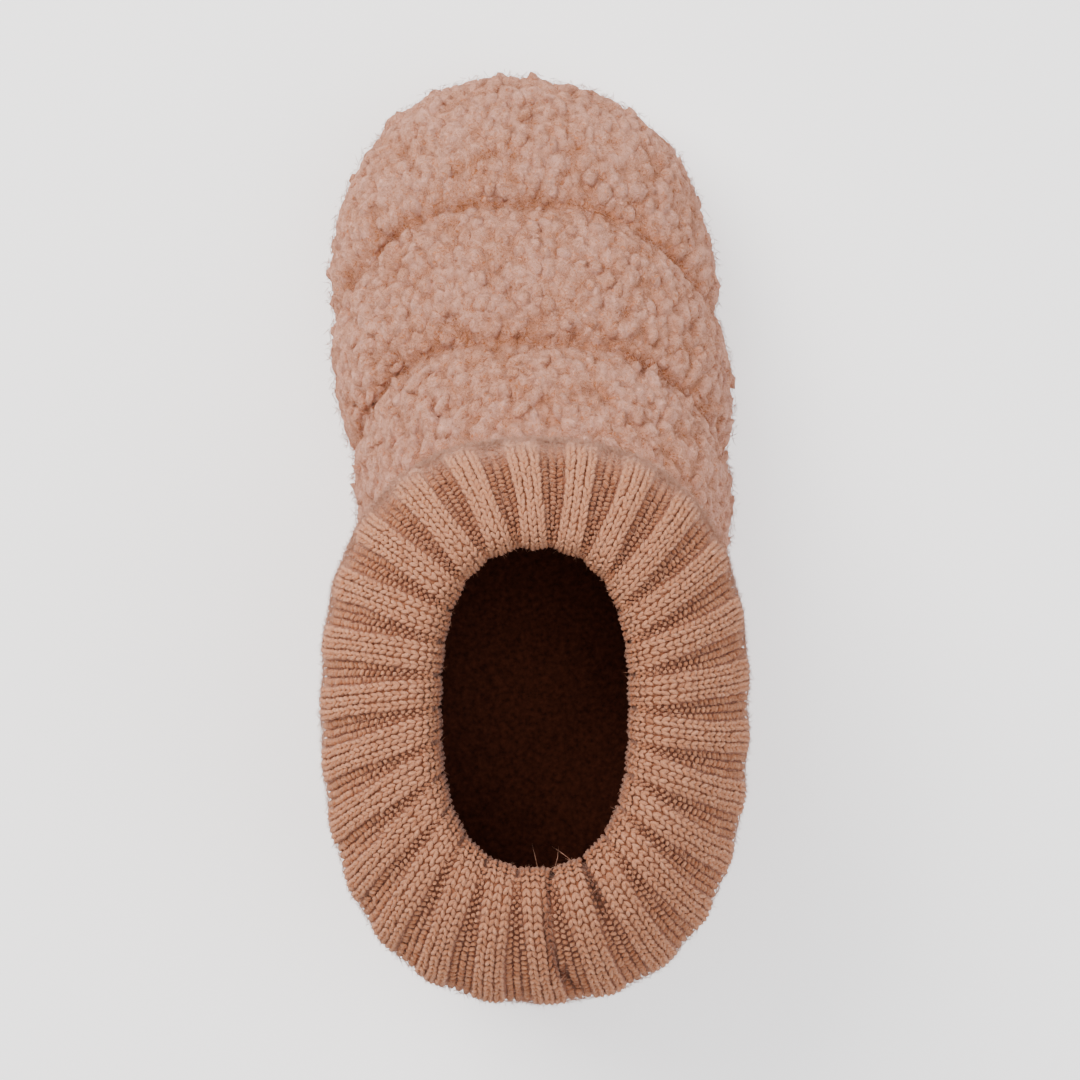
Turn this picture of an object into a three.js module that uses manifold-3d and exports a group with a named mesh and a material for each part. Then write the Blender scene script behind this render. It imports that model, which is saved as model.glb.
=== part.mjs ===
// Slipper bootie for the right foot: a quilted fleece shell on a moulded sole, with a footbed inside
// and a doubled rib-knit cuff folded over the shell's top edge.
// Millimetres. +Y points to the toe, +X to the outer (lateral) side, +Z up, the floor is z = 0.
import * as THREE from 'three';
import { mergeVertices } from 'three/addons/utils/BufferGeometryUtils.js';
import Module from 'manifold-3d';

const { lerp, clamp, euclideanModulo } = THREE.MathUtils;

// Driving dimensions of the shell
const LENGTH = 262; // heel to toe over the fleece
const BALL_WIDTH = 113; // across the fleece at the ball of the foot
const INSTEP_HEIGHT = 87; // floor to the shell's top edge at the throat
const WALL = 8; // fleece, wadding and lining together, at the crown of a puff
const TOE_ROUND = 32; // length over which the toe rounds down
const HEEL_ROUND = 30; // length over which the heel rounds down
const END_SQUARE = 2.3; // squareness of the toe's and the heel's side view
const SECTION_SQUARE = 2.3; // squareness of the cross sections

// Quilting seams across the shell
const QUILT_DEPTH = 3.4; // how far a seam pulls the fleece in
const SIDE_DEPTH = 0.45; // share of that depth left on the upright sides
const QUILT_CROWN = 4.5; // higher makes flatter puffs with tighter creases
const QUILT_PITCH = 39; // from seam to seam along the crown
const FIRST_SEAM = 92.5; // place of the seam behind the toe puff, from the middle of the length
const SEAM_BOW = 31; // how far a seam sweeps back from the crown to the widest line
const BOW_POWER = 3.3; // higher keeps the seam straighter over the crown

// Sole and footbed
const SOLE_HEEL = 13; // thickness under the heel
const SOLE_BALL = 10.5; // thickness under the ball
const END_TUCK = 6.5; // how far the shell bulges past the sole at toe and heel
const SIDE_TUCK = 7; // the same at each side of the ball
const SOLE_LEDGE = 1.2; // rim of sole outside the shell's lower edge
const TOE_SPRING = 5; // lift of the sole's tip
const TOE_BREAK = 86; // where the toe spring starts, from the middle of the length
const HEEL_BEVEL = 1.6; // lift of the sole's heel end
const HEEL_BREAK = -110; // where the heel bevel starts
const ARCH_RISE = 2.5; // hollow under the arch
const ARCH_FRONT = 16; // front end of the hollow
const ARCH_BACK = -56; // back end of the hollow
const SOLE_ROUND = 3.2; // rounding of the sole's lower edge
const SIDE_GROOVE = 1.3; // depth of the groove round the sole's side
const LUG_DEPTH = 1.8; // depth of the cuts between the lugs
const LUG_CUT = 3; // width of a cut
const LUG_PITCH = 10.5; // from cut to cut
const INSOLE_THICK = 4.5;
const INSOLE_ROUND = 1.2; // rounding of the footbed's upper edge

// Rib-knit cuff round the ankle
const COLLAR_HEIGHT = 114; // floor to the fold of the cuff
const CUFF_X = -0.2; // middle of the ankle opening
const CUFF_Y = -46.3;
const RIM = { half: 26.6, front: 43.6, back: 43.8, square: 2.45 }; // the opening
const CUFF = { half: 57.6, front: 71.2, back: 80.6, square: 2.5 }; // outer edge between the ribs
const CUFF_HEM = 67; // floor to the cuff's hem at the sides
const CUFF_LEG = 7.5; // doubled knit of the outer leg
const INNER_LEG = 5.4; // doubled knit inside the shell
const CUFF_LAP = 12; // how deep the inner leg reaches inside the shell
const RIBS = 26;
const RIB_RAISE = 1.3; // how far a rib stands above the purl ground
const RIB_TWIST = 0.009; // turn of a rib from rim to hem, in turns of the cuff

const SEAT = 0.3; // gap between pieces that lie on each other
const KNIT_GAP = 0.6; // gap between the cuff and the fleece it lies on
const LINING_GAP = 0.9; // gap between the cuff's inner leg and the inside of the wall

// Sections of the shell from heel to toe. at: share of the length. medial and lateral: reach of the
// widest line as shares of BALL_WIDTH. soleMedial and soleLateral: reach of the lower edge as shares
// of the sole's width. crown: height of the crown line, and belly: height of the widest line, as
// shares of INSTEP_HEIGHT. turn: where the section's line meets the top edge, from 0 at the throat
// to 1 at the back. Under the cuff the crown is that of the closed form, before the top is cut out.
const SECTION_COLUMNS = ['at', 'medial', 'lateral', 'soleMedial', 'soleLateral', 'crown', 'belly', 'turn'];
const SECTIONS = [
  [0.0, 0.0, 0.0, 0.0, 0.0, 0.74, 0.36, 1.0],
  [0.019, 0.18, 0.18, 0.175, 0.175, 0.76, 0.36, 0.92],
  [0.053, 0.284, 0.284, 0.275, 0.277, 0.815, 0.36, 0.84],
  [0.107, 0.363, 0.363, 0.343, 0.348, 0.96, 0.36, 0.75],
  [0.195, 0.4, 0.403, 0.37, 0.385, 1.25, 0.36, 0.64],
  [0.309, 0.42, 0.425, 0.36, 0.405, 1.29, 0.355, 0.53],
  [0.424, 0.425, 0.452, 0.362, 0.438, 1.23, 0.35, 0.425],
  [0.519, 0.4345, 0.483, 0.395, 0.468, 1.1, 0.345, 0.33],
  [0.607, 0.477, 0.489, 0.46, 0.485, 0.935, 0.34, 0.25],
  [0.691, 0.507, 0.477, 0.505, 0.478, 0.822, 0.335, 0.19],
  [0.779, 0.516, 0.454, 0.517, 0.452, 0.728, 0.33, 0.14],
  [0.851, 0.49, 0.4115, 0.49, 0.405, 0.663, 0.32, 0.104],
  [0.911, 0.4265, 0.355, 0.43, 0.345, 0.61, 0.315, 0.074],
  [0.954, 0.354, 0.2566, 0.35, 0.25, 0.575, 0.31, 0.048],
  [0.987, 0.219, 0.105, 0.222, 0.105, 0.55, 0.31, 0.022],
  [1.0, 0.045, -0.045, 0.049, -0.049, 0.54, 0.31, 0.0],
].map((row) => Object.fromEntries(SECTION_COLUMNS.map((name, i) => [name, row[i]])));

// Where the shell's top edge lies between the cuff's rim (0) and the cuff's outer edge (1)
const TOP_EDGE = { side: 0.47, front: 0.65, back: 0.72 };

// The cuff's outer face from the rim over the fold to the hem. across: share of the way from rim to
// outer edge. fall: share of the drop from the fold to the hem. tuck: how much of the tuck towards
// the shell a point takes.
const CUFF_FACE = [
  { across: 0.0, fall: 0.2, tuck: 0 },
  { across: 0.035, fall: 0.085, tuck: 0 },
  { across: 0.12, fall: 0.015, tuck: 0 },
  { across: 0.26, fall: 0.0, tuck: 0 },
  { across: 0.44, fall: 0.05, tuck: 0 },
  { across: 0.62, fall: 0.145, tuck: 0 },
  { across: 0.8, fall: 0.295, tuck: 0 },
  { across: 0.94, fall: 0.48, tuck: 0 },
  { across: 1.0, fall: 0.65, tuck: 0 },
  { across: 1.0, fall: 0.81, tuck: 0.22 },
  { across: 0.985, fall: 0.94, tuck: 0.6 },
  { across: 0.95, fall: 1.0, tuck: 1 },
];
const CUFF_TUCK = { side: 0.2, front: 0.02 }; // shares of the way from rim to outer edge
const RIB_CROWN = { rim: 0.78, hem: 0.58 }; // width of a rib's raised part, as a share of its pitch
const RIB_FLANK = 0.28; // width of each flank, as a share of what the raised part leaves
const HEM_LIFT = 1; // more air under the hem than under the rest of the cuff
const HEM_BLEND = 4; // length over which the hem's height follows the fleece under it
const LEG_GAP = 2; // air between the two legs under the fold
const LEG_SLACK = 0.7; // how much the inner leg may thicken under the fold
const NECK_SLOPE = 4; // drop over which the inner leg turns down from the fold
const LEG_BEND = { across: 0.6, up: 0.45 }; // bend of the inner leg's inside, shares from hem to rim

// Softening of the quilting next to the shell's edges, as shares of a line up its side
const FADE_SOLE = 0.08;
const FADE_TOP = 0.2;
const TOE_FAN = 0.55; // share of the toe puff's outline that its last row of faces spans
const SEAM_DRIFT = 0.07; // how far the seams drift on below the widest line
const SETTLE_PUFFS = 1.5; // puffs behind the third seam until the rows are evenly spaced

// Cross section of the sole's edge from the underside up. round: how far inside the outline, as a
// share of SOLE_ROUND. groove: the same, of SIDE_GROOVE. up: share of the thickness.
const SOLE_EDGE = [
  { round: 1, groove: 0, up: 0 },
  { round: 0.31, groove: 0, up: 0.12 },
  { round: 0.06, groove: 0, up: 0.3 },
  { round: 0, groove: 0, up: 0.46 },
  { round: 0, groove: 1, up: 0.52 },
  { round: 0, groove: 1, up: 0.62 },
  { round: 0, groove: 0, up: 0.68 },
  { round: 0, groove: 0, up: 0.93 },
  { round: 0.25, groove: 0, up: 1 },
];

// The same for the footbed, inside the shell's wall
const INSOLE_EDGE = [
  { round: 0.5, up: 0 },
  { round: 0, up: 0.25 },
  { round: 0, up: 0.7 },
  { round: 1, up: 1 },
];

const SOLE_LENGTH = LENGTH - 2 * END_TUCK;
const SOLE_WIDTH = BALL_WIDTH - 2 * SIDE_TUCK;
const LAST = SECTIONS.length - 1;
const SMALL_TURN = 0.002; // step for the direction of a ring

const wasm = await Module();
wasm.setup();

// Shared helpers

// Smooth curve through one column of the table against another: returns a function.
function columnCurve(rows, key, column, keyScale, columnScale) {
  const xs = rows.map((row) => row[key] * keyScale);
  const ys = rows.map((row) => row[column] * columnScale);
  const slope = (i) => {
    const a = Math.max(i - 1, 0);
    const b = Math.min(i + 1, xs.length - 1);
    return (ys[b] - ys[a]) / (xs[b] - xs[a]);
  };
  return (x) => {
    const at = clamp(x, xs[0], xs[xs.length - 1]);
    let i = xs.findIndex((value) => value >= at) - 1;
    i = clamp(i, 0, xs.length - 2);
    const step = xs[i + 1] - xs[i];
    const k = (at - xs[i]) / step;
    const k2 = k * k;
    const k3 = k2 * k;
    return (
      ys[i] * (2 * k3 - 3 * k2 + 1) +
      slope(i) * step * (k3 - 2 * k2 + k) +
      ys[i + 1] * (3 * k2 - 2 * k3) +
      slope(i + 1) * step * (k3 - k2)
    );
  };
}

// Closed plan curve whose parameter u runs from 0 at the toe tip to 1 at the heel tip on the lateral
// side, and from 0 to -1 on the medial side.
function planLoop(points) {
  const curve = new THREE.CatmullRomCurve3(points, true, 'centripetal');
  const share = (u) => euclideanModulo(u / 2, 1);
  return {
    at: (u) => curve.getPoint(share(u)),
    outward: (u) => {
      const along = curve.getTangent(share(u));
      return new THREE.Vector3(-along.y, along.x, 0).normalize();
    },
  };
}

function insetLoop(loop, distance) {
  const steps = 120;
  const points = [];
  for (let i = 0; i < steps; i++) {
    const u = (2 * i) / steps;
    points.push(loop.at(u).addScaledVector(loop.outward(u), -distance));
  }
  return planLoop(points);
}

// The table's rows as a closed loop: toe tip, lateral side, heel tip, medial side.
function sectionLoop(pointOf) {
  const points = [];
  for (let i = LAST; i > 0; i--) points.push(pointOf(SECTIONS[i], 1));
  for (let i = 0; i < LAST; i++) points.push(pointOf(SECTIONS[i], -1));
  return planLoop(points);
}

function sectionReach(length, width, medial, lateral) {
  return (row, side) =>
    new THREE.Vector3(side * width * (side > 0 ? row[lateral] : row[medial]), (row.at - 0.5) * length, 0);
}

// Squared oval round the ankle. turn: share of its length, clockwise from the toe side.
function ankleRing(size) {
  const steps = 240;
  const points = [];
  for (let i = 0; i < steps; i++) {
    const angle = (2 * Math.PI * i) / steps;
    const s = Math.sin(angle);
    const c = Math.cos(angle);
    const reach = c > 0 ? size.front : size.back;
    const sum = Math.abs(s / size.half) ** size.square + Math.abs(c / reach) ** size.square;
    const radius = sum ** (-1 / size.square);
    points.push(new THREE.Vector3(CUFF_X + radius * s, CUFF_Y + radius * c, 0));
  }
  const curve = new THREE.CatmullRomCurve3(points, true, 'centripetal');
  curve.arcLengthDivisions = 2400;
  return (turn) => curve.getPointAt(euclideanModulo(turn, 1));
}

function meshFrom(name, geometry, material) {
  geometry.computeVertexNormals();
  const mesh = new THREE.Mesh(geometry, material);
  mesh.name = name;
  return mesh;
}

// Triangles from four-cornered faces, split along the shorter diagonal.
function quadGeometry(points, quads) {
  const index = [];
  for (const [a, b, c, d] of quads) {
    const acShorter = points[a].distanceToSquared(points[c]) <= points[b].distanceToSquared(points[d]);
    if (acShorter) index.push(a, b, c, a, c, d);
    else index.push(a, b, d, b, c, d);
  }
  const geometry = new THREE.BufferGeometry().setFromPoints(points);
  geometry.setIndex(index);
  return geometry;
}

// A closed grid: rings of points that join in both directions.
function ringGeometry(rings) {
  const points = rings.flat();
  const count = rings[0].length;
  const quads = [];
  rings.forEach((ring, i) => {
    const next = (i + 1) % rings.length;
    for (let j = 0; j < count; j++) {
      const k = (j + 1) % count;
      quads.push([i * count + j, next * count + j, next * count + k, i * count + k]);
    }
  });
  return quadGeometry(points, quads);
}

function toSolid(geometry) {
  const bare = geometry.clone();
  for (const name of Object.keys(bare.attributes)) {
    if (name !== 'position') bare.deleteAttribute(name);
  }
  const merged = mergeVertices(bare, 1e-4);
  return new wasm.Manifold(
    new wasm.Mesh({
      numProp: 3,
      vertProperties: merged.attributes.position.array,
      triVerts: new Uint32Array(merged.index.array),
    }),
  );
}

function toGeometry(solid) {
  const mesh = solid.getMesh();
  const geometry = new THREE.BufferGeometry();
  geometry.setAttribute('position', new THREE.BufferAttribute(mesh.vertProperties, 3));
  geometry.setIndex(new THREE.BufferAttribute(mesh.triVerts, 1));
  return geometry;
}

// Heights of the sole along its length
const smoothStep = (k) => THREE.MathUtils.smoothstep(k, 0, 1);

function soleLift(y) {
  const toe = Math.max(0, (y - TOE_BREAK) / (SOLE_LENGTH / 2 - TOE_BREAK));
  const heel = Math.max(0, (HEEL_BREAK - y) / (SOLE_LENGTH / 2 + HEEL_BREAK));
  return TOE_SPRING * toe ** 2 + HEEL_BEVEL * heel ** 2;
}

function soleTop(y) {
  const forward = smoothStep((y - ARCH_BACK) / (ARCH_FRONT - ARCH_BACK));
  const toe = Math.max(0, (y - TOE_BREAK) / (SOLE_LENGTH / 2 - TOE_BREAK));
  return lerp(SOLE_HEEL, SOLE_BALL, forward) + TOE_SPRING * toe ** 2;
}

function soleUnder(y) {
  const k = clamp((y - ARCH_BACK) / (ARCH_FRONT - ARCH_BACK), 0, 1);
  return soleLift(y) + ARCH_RISE * Math.sin(Math.PI * k) ** 2;
}

// The shell's closed form, as a last maker draws it: plan outline, crown line and squareness of the
// sections. inset makes the same form smaller all round, for the inside of the wall.
const rimRing = ankleRing(RIM);
const cuffRing = ankleRing(CUFF);

function topShare(turn) {
  const c = Math.cos(2 * Math.PI * turn);
  return TOP_EDGE.side + (c > 0 ? TOP_EDGE.front - TOP_EDGE.side : TOP_EDGE.back - TOP_EDGE.side) * c * c;
}

const topEdgeAt = (turn) => rimRing(turn).lerp(cuffRing(turn), topShare(turn));
const bellyLoop = sectionLoop(sectionReach(LENGTH, BALL_WIDTH, 'medial', 'lateral'));
const lowerLoop = sectionLoop(sectionReach(SOLE_LENGTH, SOLE_WIDTH, 'soleMedial', 'soleLateral'));
const fromToe = [...SECTIONS].reverse().map((row, i) => ({ place: i / LAST, turn: row.turn }));
const turnLine = columnCurve(fromToe, 'place', 'turn', 1, 0.5);
const upperLoop = {
  at: (u) => {
    const k = euclideanModulo(u + 1, 2) - 1;
    return topEdgeAt(Math.sign(k) * turnLine(Math.abs(k)));
  },
  outward: (u) => {
    const along = upperLoop.at(u + 2 * SMALL_TURN).sub(upperLoop.at(u - 2 * SMALL_TURN));
    return new THREE.Vector3(-along.y, along.x, 0).normalize();
  },
};
const crownLine = columnCurve(SECTIONS, 'at', 'crown', LENGTH, INSTEP_HEIGHT);
const bellyLine = columnCurve(SECTIONS, 'at', 'belly', LENGTH, INSTEP_HEIGHT);

// Both edges of the widest line at a place along the length, by interpolation of dense points.
function spanFinder(loop) {
  const steps = 1200;
  const side = (sign) => {
    const list = [];
    for (let i = 0; i <= steps; i++) list.push(loop.at((sign * i) / steps));
    return (y) => {
      let low = 0;
      let high = steps;
      while (high - low > 1) {
        const middle = (low + high) >> 1;
        if (list[middle].y > y) low = middle;
        else high = middle;
      }
      const a = list[low];
      const b = list[high];
      const k = clamp((a.y - y) / Math.max(a.y - b.y, 1e-9), 0, 1);
      return lerp(a.x, b.x, k);
    };
  };
  const lateral = side(1);
  const medial = side(-1);
  return (y) => ({
    middle: (lateral(y) + medial(y)) / 2,
    half: Math.max((lateral(y) - medial(y)) / 2, 1e-6),
  });
}

function shellForm(inset) {
  const belly = inset ? insetLoop(bellyLoop, inset) : bellyLoop;
  const lower = inset ? insetLoop(lowerLoop, inset) : lowerLoop;
  const top = inset ? insetLoop(upperLoop, inset) : upperLoop;
  const spanAt = spanFinder(belly);
  const tip = LENGTH / 2 - inset;

  function across(x, y) {
    const { middle, half } = spanAt(y);
    return Math.abs(x - middle) / half;
  }
  function endRound(y) {
    const toe = clamp((y - (tip - TOE_ROUND + inset)) / (TOE_ROUND - inset), 0, 1);
    const heel = clamp((-y - (tip - HEEL_ROUND + inset)) / (HEEL_ROUND - inset), 0, 1);
    return Math.sqrt(1 - toe ** END_SQUARE) * Math.sqrt(1 - heel ** END_SQUARE);
  }
  function height(x, y) {
    const low = bellyLine(y + LENGTH / 2);
    const rise = crownLine(y + LENGTH / 2) - inset - low;
    const r = Math.min(across(x, y), 1);
    return low + rise * endRound(y) * Math.sqrt(1 - r ** SECTION_SQUARE);
  }

  // One line up the shell's side, from the lower edge over the widest line to the top edge.
  const lines = new Map();
  function line(u) {
    const key = Math.round(u * 1e6);
    if (lines.has(key)) return lines.get(key);
    const from = lower.at(u);
    const wide = belly.at(u);
    const to = top.at(u);
    const points = [];
    const lowSteps = 24;
    const highSteps = 140;
    from.z = soleTop(from.y) + SEAT;
    wide.z = bellyLine(wide.y + LENGTH / 2);
    for (let i = 0; i < lowSteps; i++) {
      const angle = (Math.PI / 2) * (i / lowSteps);
      const p = from.clone().lerp(wide, Math.sin(angle));
      p.z = lerp(from.z, wide.z, 1 - Math.cos(angle));
      p.down = 1 - i / lowSteps;
      points.push(p);
    }
    for (let i = 0; i <= highSteps; i++) {
      const p = wide.clone().lerp(to, (i / highSteps) ** 2);
      p.z = height(p.x, p.y);
      p.down = 0;
      points.push(p);
    }
    const lengths = [0];
    for (let i = 1; i < points.length; i++) {
      lengths.push(lengths[i - 1] + points[i].distanceTo(points[i - 1]));
    }
    const made = { points, lengths, total: lengths[lengths.length - 1] };
    lines.set(key, made);
    return made;
  }

  // Point at a share t of the line's length
  function point(u, t) {
    const { points, lengths, total } = line(u);
    const goal = clamp(t, 0, 1) * total;
    let i = lengths.findIndex((value) => value >= goal);
    i = Math.max(i, 1);
    const k = (goal - lengths[i - 1]) / (lengths[i] - lengths[i - 1]);
    return points[i - 1].clone().lerp(points[i], k);
  }

  // The quilt's own coordinate: constant along a seam that bows to the toe over the crown.
  function quiltAt(p) {
    const r = p.down > 0 ? 1 + SEAM_DRIFT * p.down : Math.min(across(p.x, p.y), 1);
    return p.y + SEAM_BOW * r ** BOW_POWER;
  }
  function crossing(u, place) {
    const { points, lengths, total } = line(u);
    for (let i = 1; i < points.length; i++) {
      const a = quiltAt(points[i - 1]);
      const b = quiltAt(points[i]);
      if (a >= place && b < place) {
        const k = (a - place) / (a - b);
        return lerp(lengths[i - 1], lengths[i], k) / total;
      }
    }
    return quiltAt(points[0]) < place ? 0 : 1;
  }
  const quiltStart = (u) => quiltAt(line(u).points[0]);
  const quiltEnd = (u) => quiltAt(line(u).points[line(u).points.length - 1]);
  return { point, crossing, quiltStart, quiltEnd, height };
}

const outerForm = shellForm(0);
const innerForm = shellForm(WALL);

// Upper: rows of points that follow the quilting seams, so that each seam is a line of the mesh.
const VAMP_COLUMNS = 34; // faces across the vamp, from sole to sole
const SIDE_FACES = 14; // of them up each side to the top edge, at the third seam
const PUFF_ROWS = [6, 5, 6]; // faces along the third, second and toe puff
const BACK_ROWS = [5, 5, 9]; // faces along each puff from the third seam to the heel

function bisect(test, low, high) {
  for (let i = 0; i < 40; i++) {
    const middle = (low + high) / 2;
    if (test(middle)) low = middle;
    else high = middle;
  }
  return (low + high) / 2;
}

// Where a seam starts at the lower edge on one side
function seamFoot(place, side) {
  return side * bisect((u) => outerForm.quiltStart(side * u) > place, 0.001, 0.999);
}

// Where a seam reaches the top edge on one side
function seamHead(place, side) {
  return side * bisect((u) => outerForm.quiltEnd(side * u) > place, 0.001, 0.999);
}

// Points of a seam between two values of u, evenly spaced by length, as pairs {u, t}
function seamPairs(place, from, to, faces) {
  const steps = 160;
  const pairs = [];
  const lengths = [0];
  for (let i = 0; i <= steps; i++) {
    const angle = Math.PI * (i / steps);
    const u = lerp(from, to, (1 - Math.cos(angle)) / 2);
    pairs.push({ u, t: outerForm.crossing(u, place) });
    if (i === 0) continue;
    const a = outerForm.point(pairs[i - 1].u, pairs[i - 1].t);
    const b = outerForm.point(pairs[i].u, pairs[i].t);
    lengths.push(lengths[i - 1] + a.distanceTo(b));
  }
  const picked = [];
  for (let i = 0; i <= faces; i++) {
    const goal = (lengths[steps] * i) / faces;
    const j = Math.max(1, lengths.findIndex((value) => value >= goal - 1e-9));
    const k = (goal - lengths[j - 1]) / (lengths[j] - lengths[j - 1]);
    picked.push({ u: lerp(pairs[j - 1].u, pairs[j].u, k), t: lerp(pairs[j - 1].t, pairs[j].t, k) });
  }
  return picked;
}

function quiltLines() {
  const places = [FIRST_SEAM, FIRST_SEAM - QUILT_PITCH, FIRST_SEAM - 2 * QUILT_PITCH];
  const full = places.slice(0, 2).map((place) => {
    const pairs = seamPairs(place, seamFoot(place, -1), seamFoot(place, 1), VAMP_COLUMNS);
    pairs[0].t = 0;
    pairs[VAMP_COLUMNS].t = 0;
    return pairs;
  });
  const toe = full[0].map((pair) => ({ u: TOE_FAN * pair.u, t: 0 }));
  const side = (sign) => {
    const pairs = seamPairs(places[2], seamFoot(places[2], sign), seamHead(places[2], sign), SIDE_FACES);
    pairs[0].t = 0;
    pairs[SIDE_FACES].t = 1;
    return pairs;
  };
  const medial = side(-1);
  const lateral = side(1);
  const front = [];
  const frontFaces = VAMP_COLUMNS - 2 * SIDE_FACES;
  for (let i = 1; i < frontFaces; i++) {
    front.push({ u: lerp(medial[SIDE_FACES].u, lateral[SIDE_FACES].u, i / frontFaces), t: 1 });
  }
  return [[...medial, ...front, ...lateral.reverse()], full[1], full[0], toe];
}

// Creases: 1 on a seam, 0 on the crown of a puff. The last puff of a row ends without a seam.
function crease(k, lastPuff) {
  const fromMiddle = 2 * k - 1;
  if (lastPuff && fromMiddle > 0) return 0;
  return Math.abs(fromMiddle) ** QUILT_CROWN;
}

function buildUpperDomain() {
  const nodes = [];
  const quads = [];
  const add = (u, t, fold) => nodes.push({ u, t, fold }) - 1;
  const lines = quiltLines();

  const vamp = [];
  PUFF_ROWS.forEach((rows, puff) => {
    const last = puff === PUFF_ROWS.length - 1;
    for (let row = 0; row < rows + (last ? 1 : 0); row++) {
      const k = row / rows;
      vamp.push(
        lines[puff].map((a, c) => {
          const b = lines[puff + 1][c];
          return add(lerp(a.u, b.u, k), lerp(a.t, b.t, k), crease(k, last));
        }),
      );
    }
  });
  for (let r = 0; r + 1 < vamp.length; r++) {
    for (let c = 0; c < VAMP_COLUMNS; c++) {
      quads.push([vamp[r][c], vamp[r][c + 1], vamp[r + 1][c + 1], vamp[r + 1][c]]);
    }
  }

  // Walls from the third seam back to the middle of the heel, one side after the other
  const heel = [];
  const walls = [-1, 1].map((side) => {
    const first = [];
    for (let k = 0; k <= SIDE_FACES; k++) first.push(side < 0 ? vamp[0][k] : vamp[0][VAMP_COLUMNS - k]);
    const wall = [first];
    const shares = first.map((i) => nodes[i].t);
    const foot = (place) => Math.abs(seamFoot(place, side));
    const head = (place) => Math.abs(seamHead(place, side));
    const places = [2, 3, 4].map((i) => FIRST_SEAM - i * QUILT_PITCH);
    const stops = places.map((place) => ({ foot: foot(place), head: head(place) }));
    stops.push({ foot: 1, head: 1 });
    BACK_ROWS.forEach((rows, puff) => {
      const last = puff === BACK_ROWS.length - 1;
      for (let row = 1; row <= rows; row++) {
        const k = row / rows;
        const low = lerp(stops[puff].foot, stops[puff + 1].foot, k);
        const high = lerp(stops[puff].head, stops[puff + 1].head, k);
        const isHeel = last && row === rows;
        if (isHeel && heel.length) {
          wall.push(heel);
          continue;
        }
        const settle = clamp((puff + k) / SETTLE_PUFFS, 0, 1);
        const made = shares.map((share, j) => {
          const t = lerp(share, j / SIDE_FACES, settle);
          const fromSeam = lerp(Math.abs(nodes[first[j]].u), lerp(stops[1].foot, stops[1].head, t), k);
          const along = puff === 0 ? fromSeam : lerp(low, high, t);
          return add(side * along, t, crease(k, last));
        });
        if (isHeel) heel.push(...made);
        wall.push(made);
      }
    });
    return wall;
  });
  walls.forEach((wall, which) => {
    for (let l = 0; l + 1 < wall.length; l++) {
      for (let k = 0; k < SIDE_FACES; k++) {
        const quad = [wall[l][k], wall[l + 1][k], wall[l + 1][k + 1], wall[l][k + 1]];
        quads.push(which === 0 ? quad : quad.reverse());
      }
    }
  });

  // Boundary loops, both starting at the medial side and running over the toe side
  const [medial, lateral] = walls;
  const lowerEdge = [
    ...vamp.map((row) => row[0]),
    ...vamp[vamp.length - 1].slice(1, -1),
    ...vamp.map((row) => row[VAMP_COLUMNS]).reverse(),
    ...lateral.slice(1).map((wall) => wall[0]),
    ...medial.slice(1, -1).map((wall) => wall[0]).reverse(),
  ];
  const topEdge = [
    ...vamp[0].slice(SIDE_FACES, VAMP_COLUMNS - SIDE_FACES + 1),
    ...lateral.slice(1).map((wall) => wall[SIDE_FACES]),
    ...medial.slice(1, -1).map((wall) => wall[SIDE_FACES]).reverse(),
  ];
  return { nodes, quads, lowerEdge, topEdge };
}

function buildUpper() {
  const { nodes, quads, lowerEdge, topEdge } = buildUpperDomain();
  const outer = nodes.map((node) => outerForm.point(node.u, node.t));
  const inner = nodes.map((node) => innerForm.point(node.u, node.t));
  const skin = quadGeometry(outer, quads);
  skin.computeVertexNormals();
  const normal = new THREE.Vector3();
  nodes.forEach((node, i) => {
    normal.fromBufferAttribute(skin.attributes.normal, i);
    const nearSole = clamp(node.t / FADE_SOLE, 0, 1);
    const nearTop = clamp((1 - node.t) / FADE_TOP, 0, 1);
    const depth = QUILT_DEPTH * lerp(SIDE_DEPTH, 1, clamp(normal.z, 0, 1));
    outer[i].addScaledVector(normal, -depth * node.fold * nearSole * nearTop);
  });
  const count = nodes.length;
  const all = [...quads];
  for (const quad of quads) all.push([...quad].reverse().map((i) => i + count));
  lowerEdge.forEach((a, i) => {
    const b = lowerEdge[(i + 1) % lowerEdge.length];
    all.push([a, b, b + count, a + count]);
  });
  topEdge.forEach((a, i) => {
    const b = topEdge[(i + 1) % topEdge.length];
    all.push([b, a, a + count, b + count]);
  });
  return quadGeometry([...outer, ...inner], all);
}

// Cuff: a folded band of doubled knit that hangs over the shell's top edge like a hook.
const COLUMNS_PER_RIB = 4;
const softMax = (a, b, k) => (a + b + Math.sqrt((a - b) ** 2 + k * k)) / 2;

function ribAt(column, across) {
  const crownShare = lerp(RIB_CROWN.rim, RIB_CROWN.hem, clamp(across, 0, 1));
  const flank = (1 - crownShare) * RIB_FLANK;
  const starts = [0, crownShare, crownShare + flank, 1 - flank];
  const middle = crownShare / 2;
  const rib = Math.floor(column / COLUMNS_PER_RIB);
  const step = column % COLUMNS_PER_RIB;
  return { turn: (rib + starts[step] - middle) / RIBS, raised: step < 2 };
}

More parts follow.
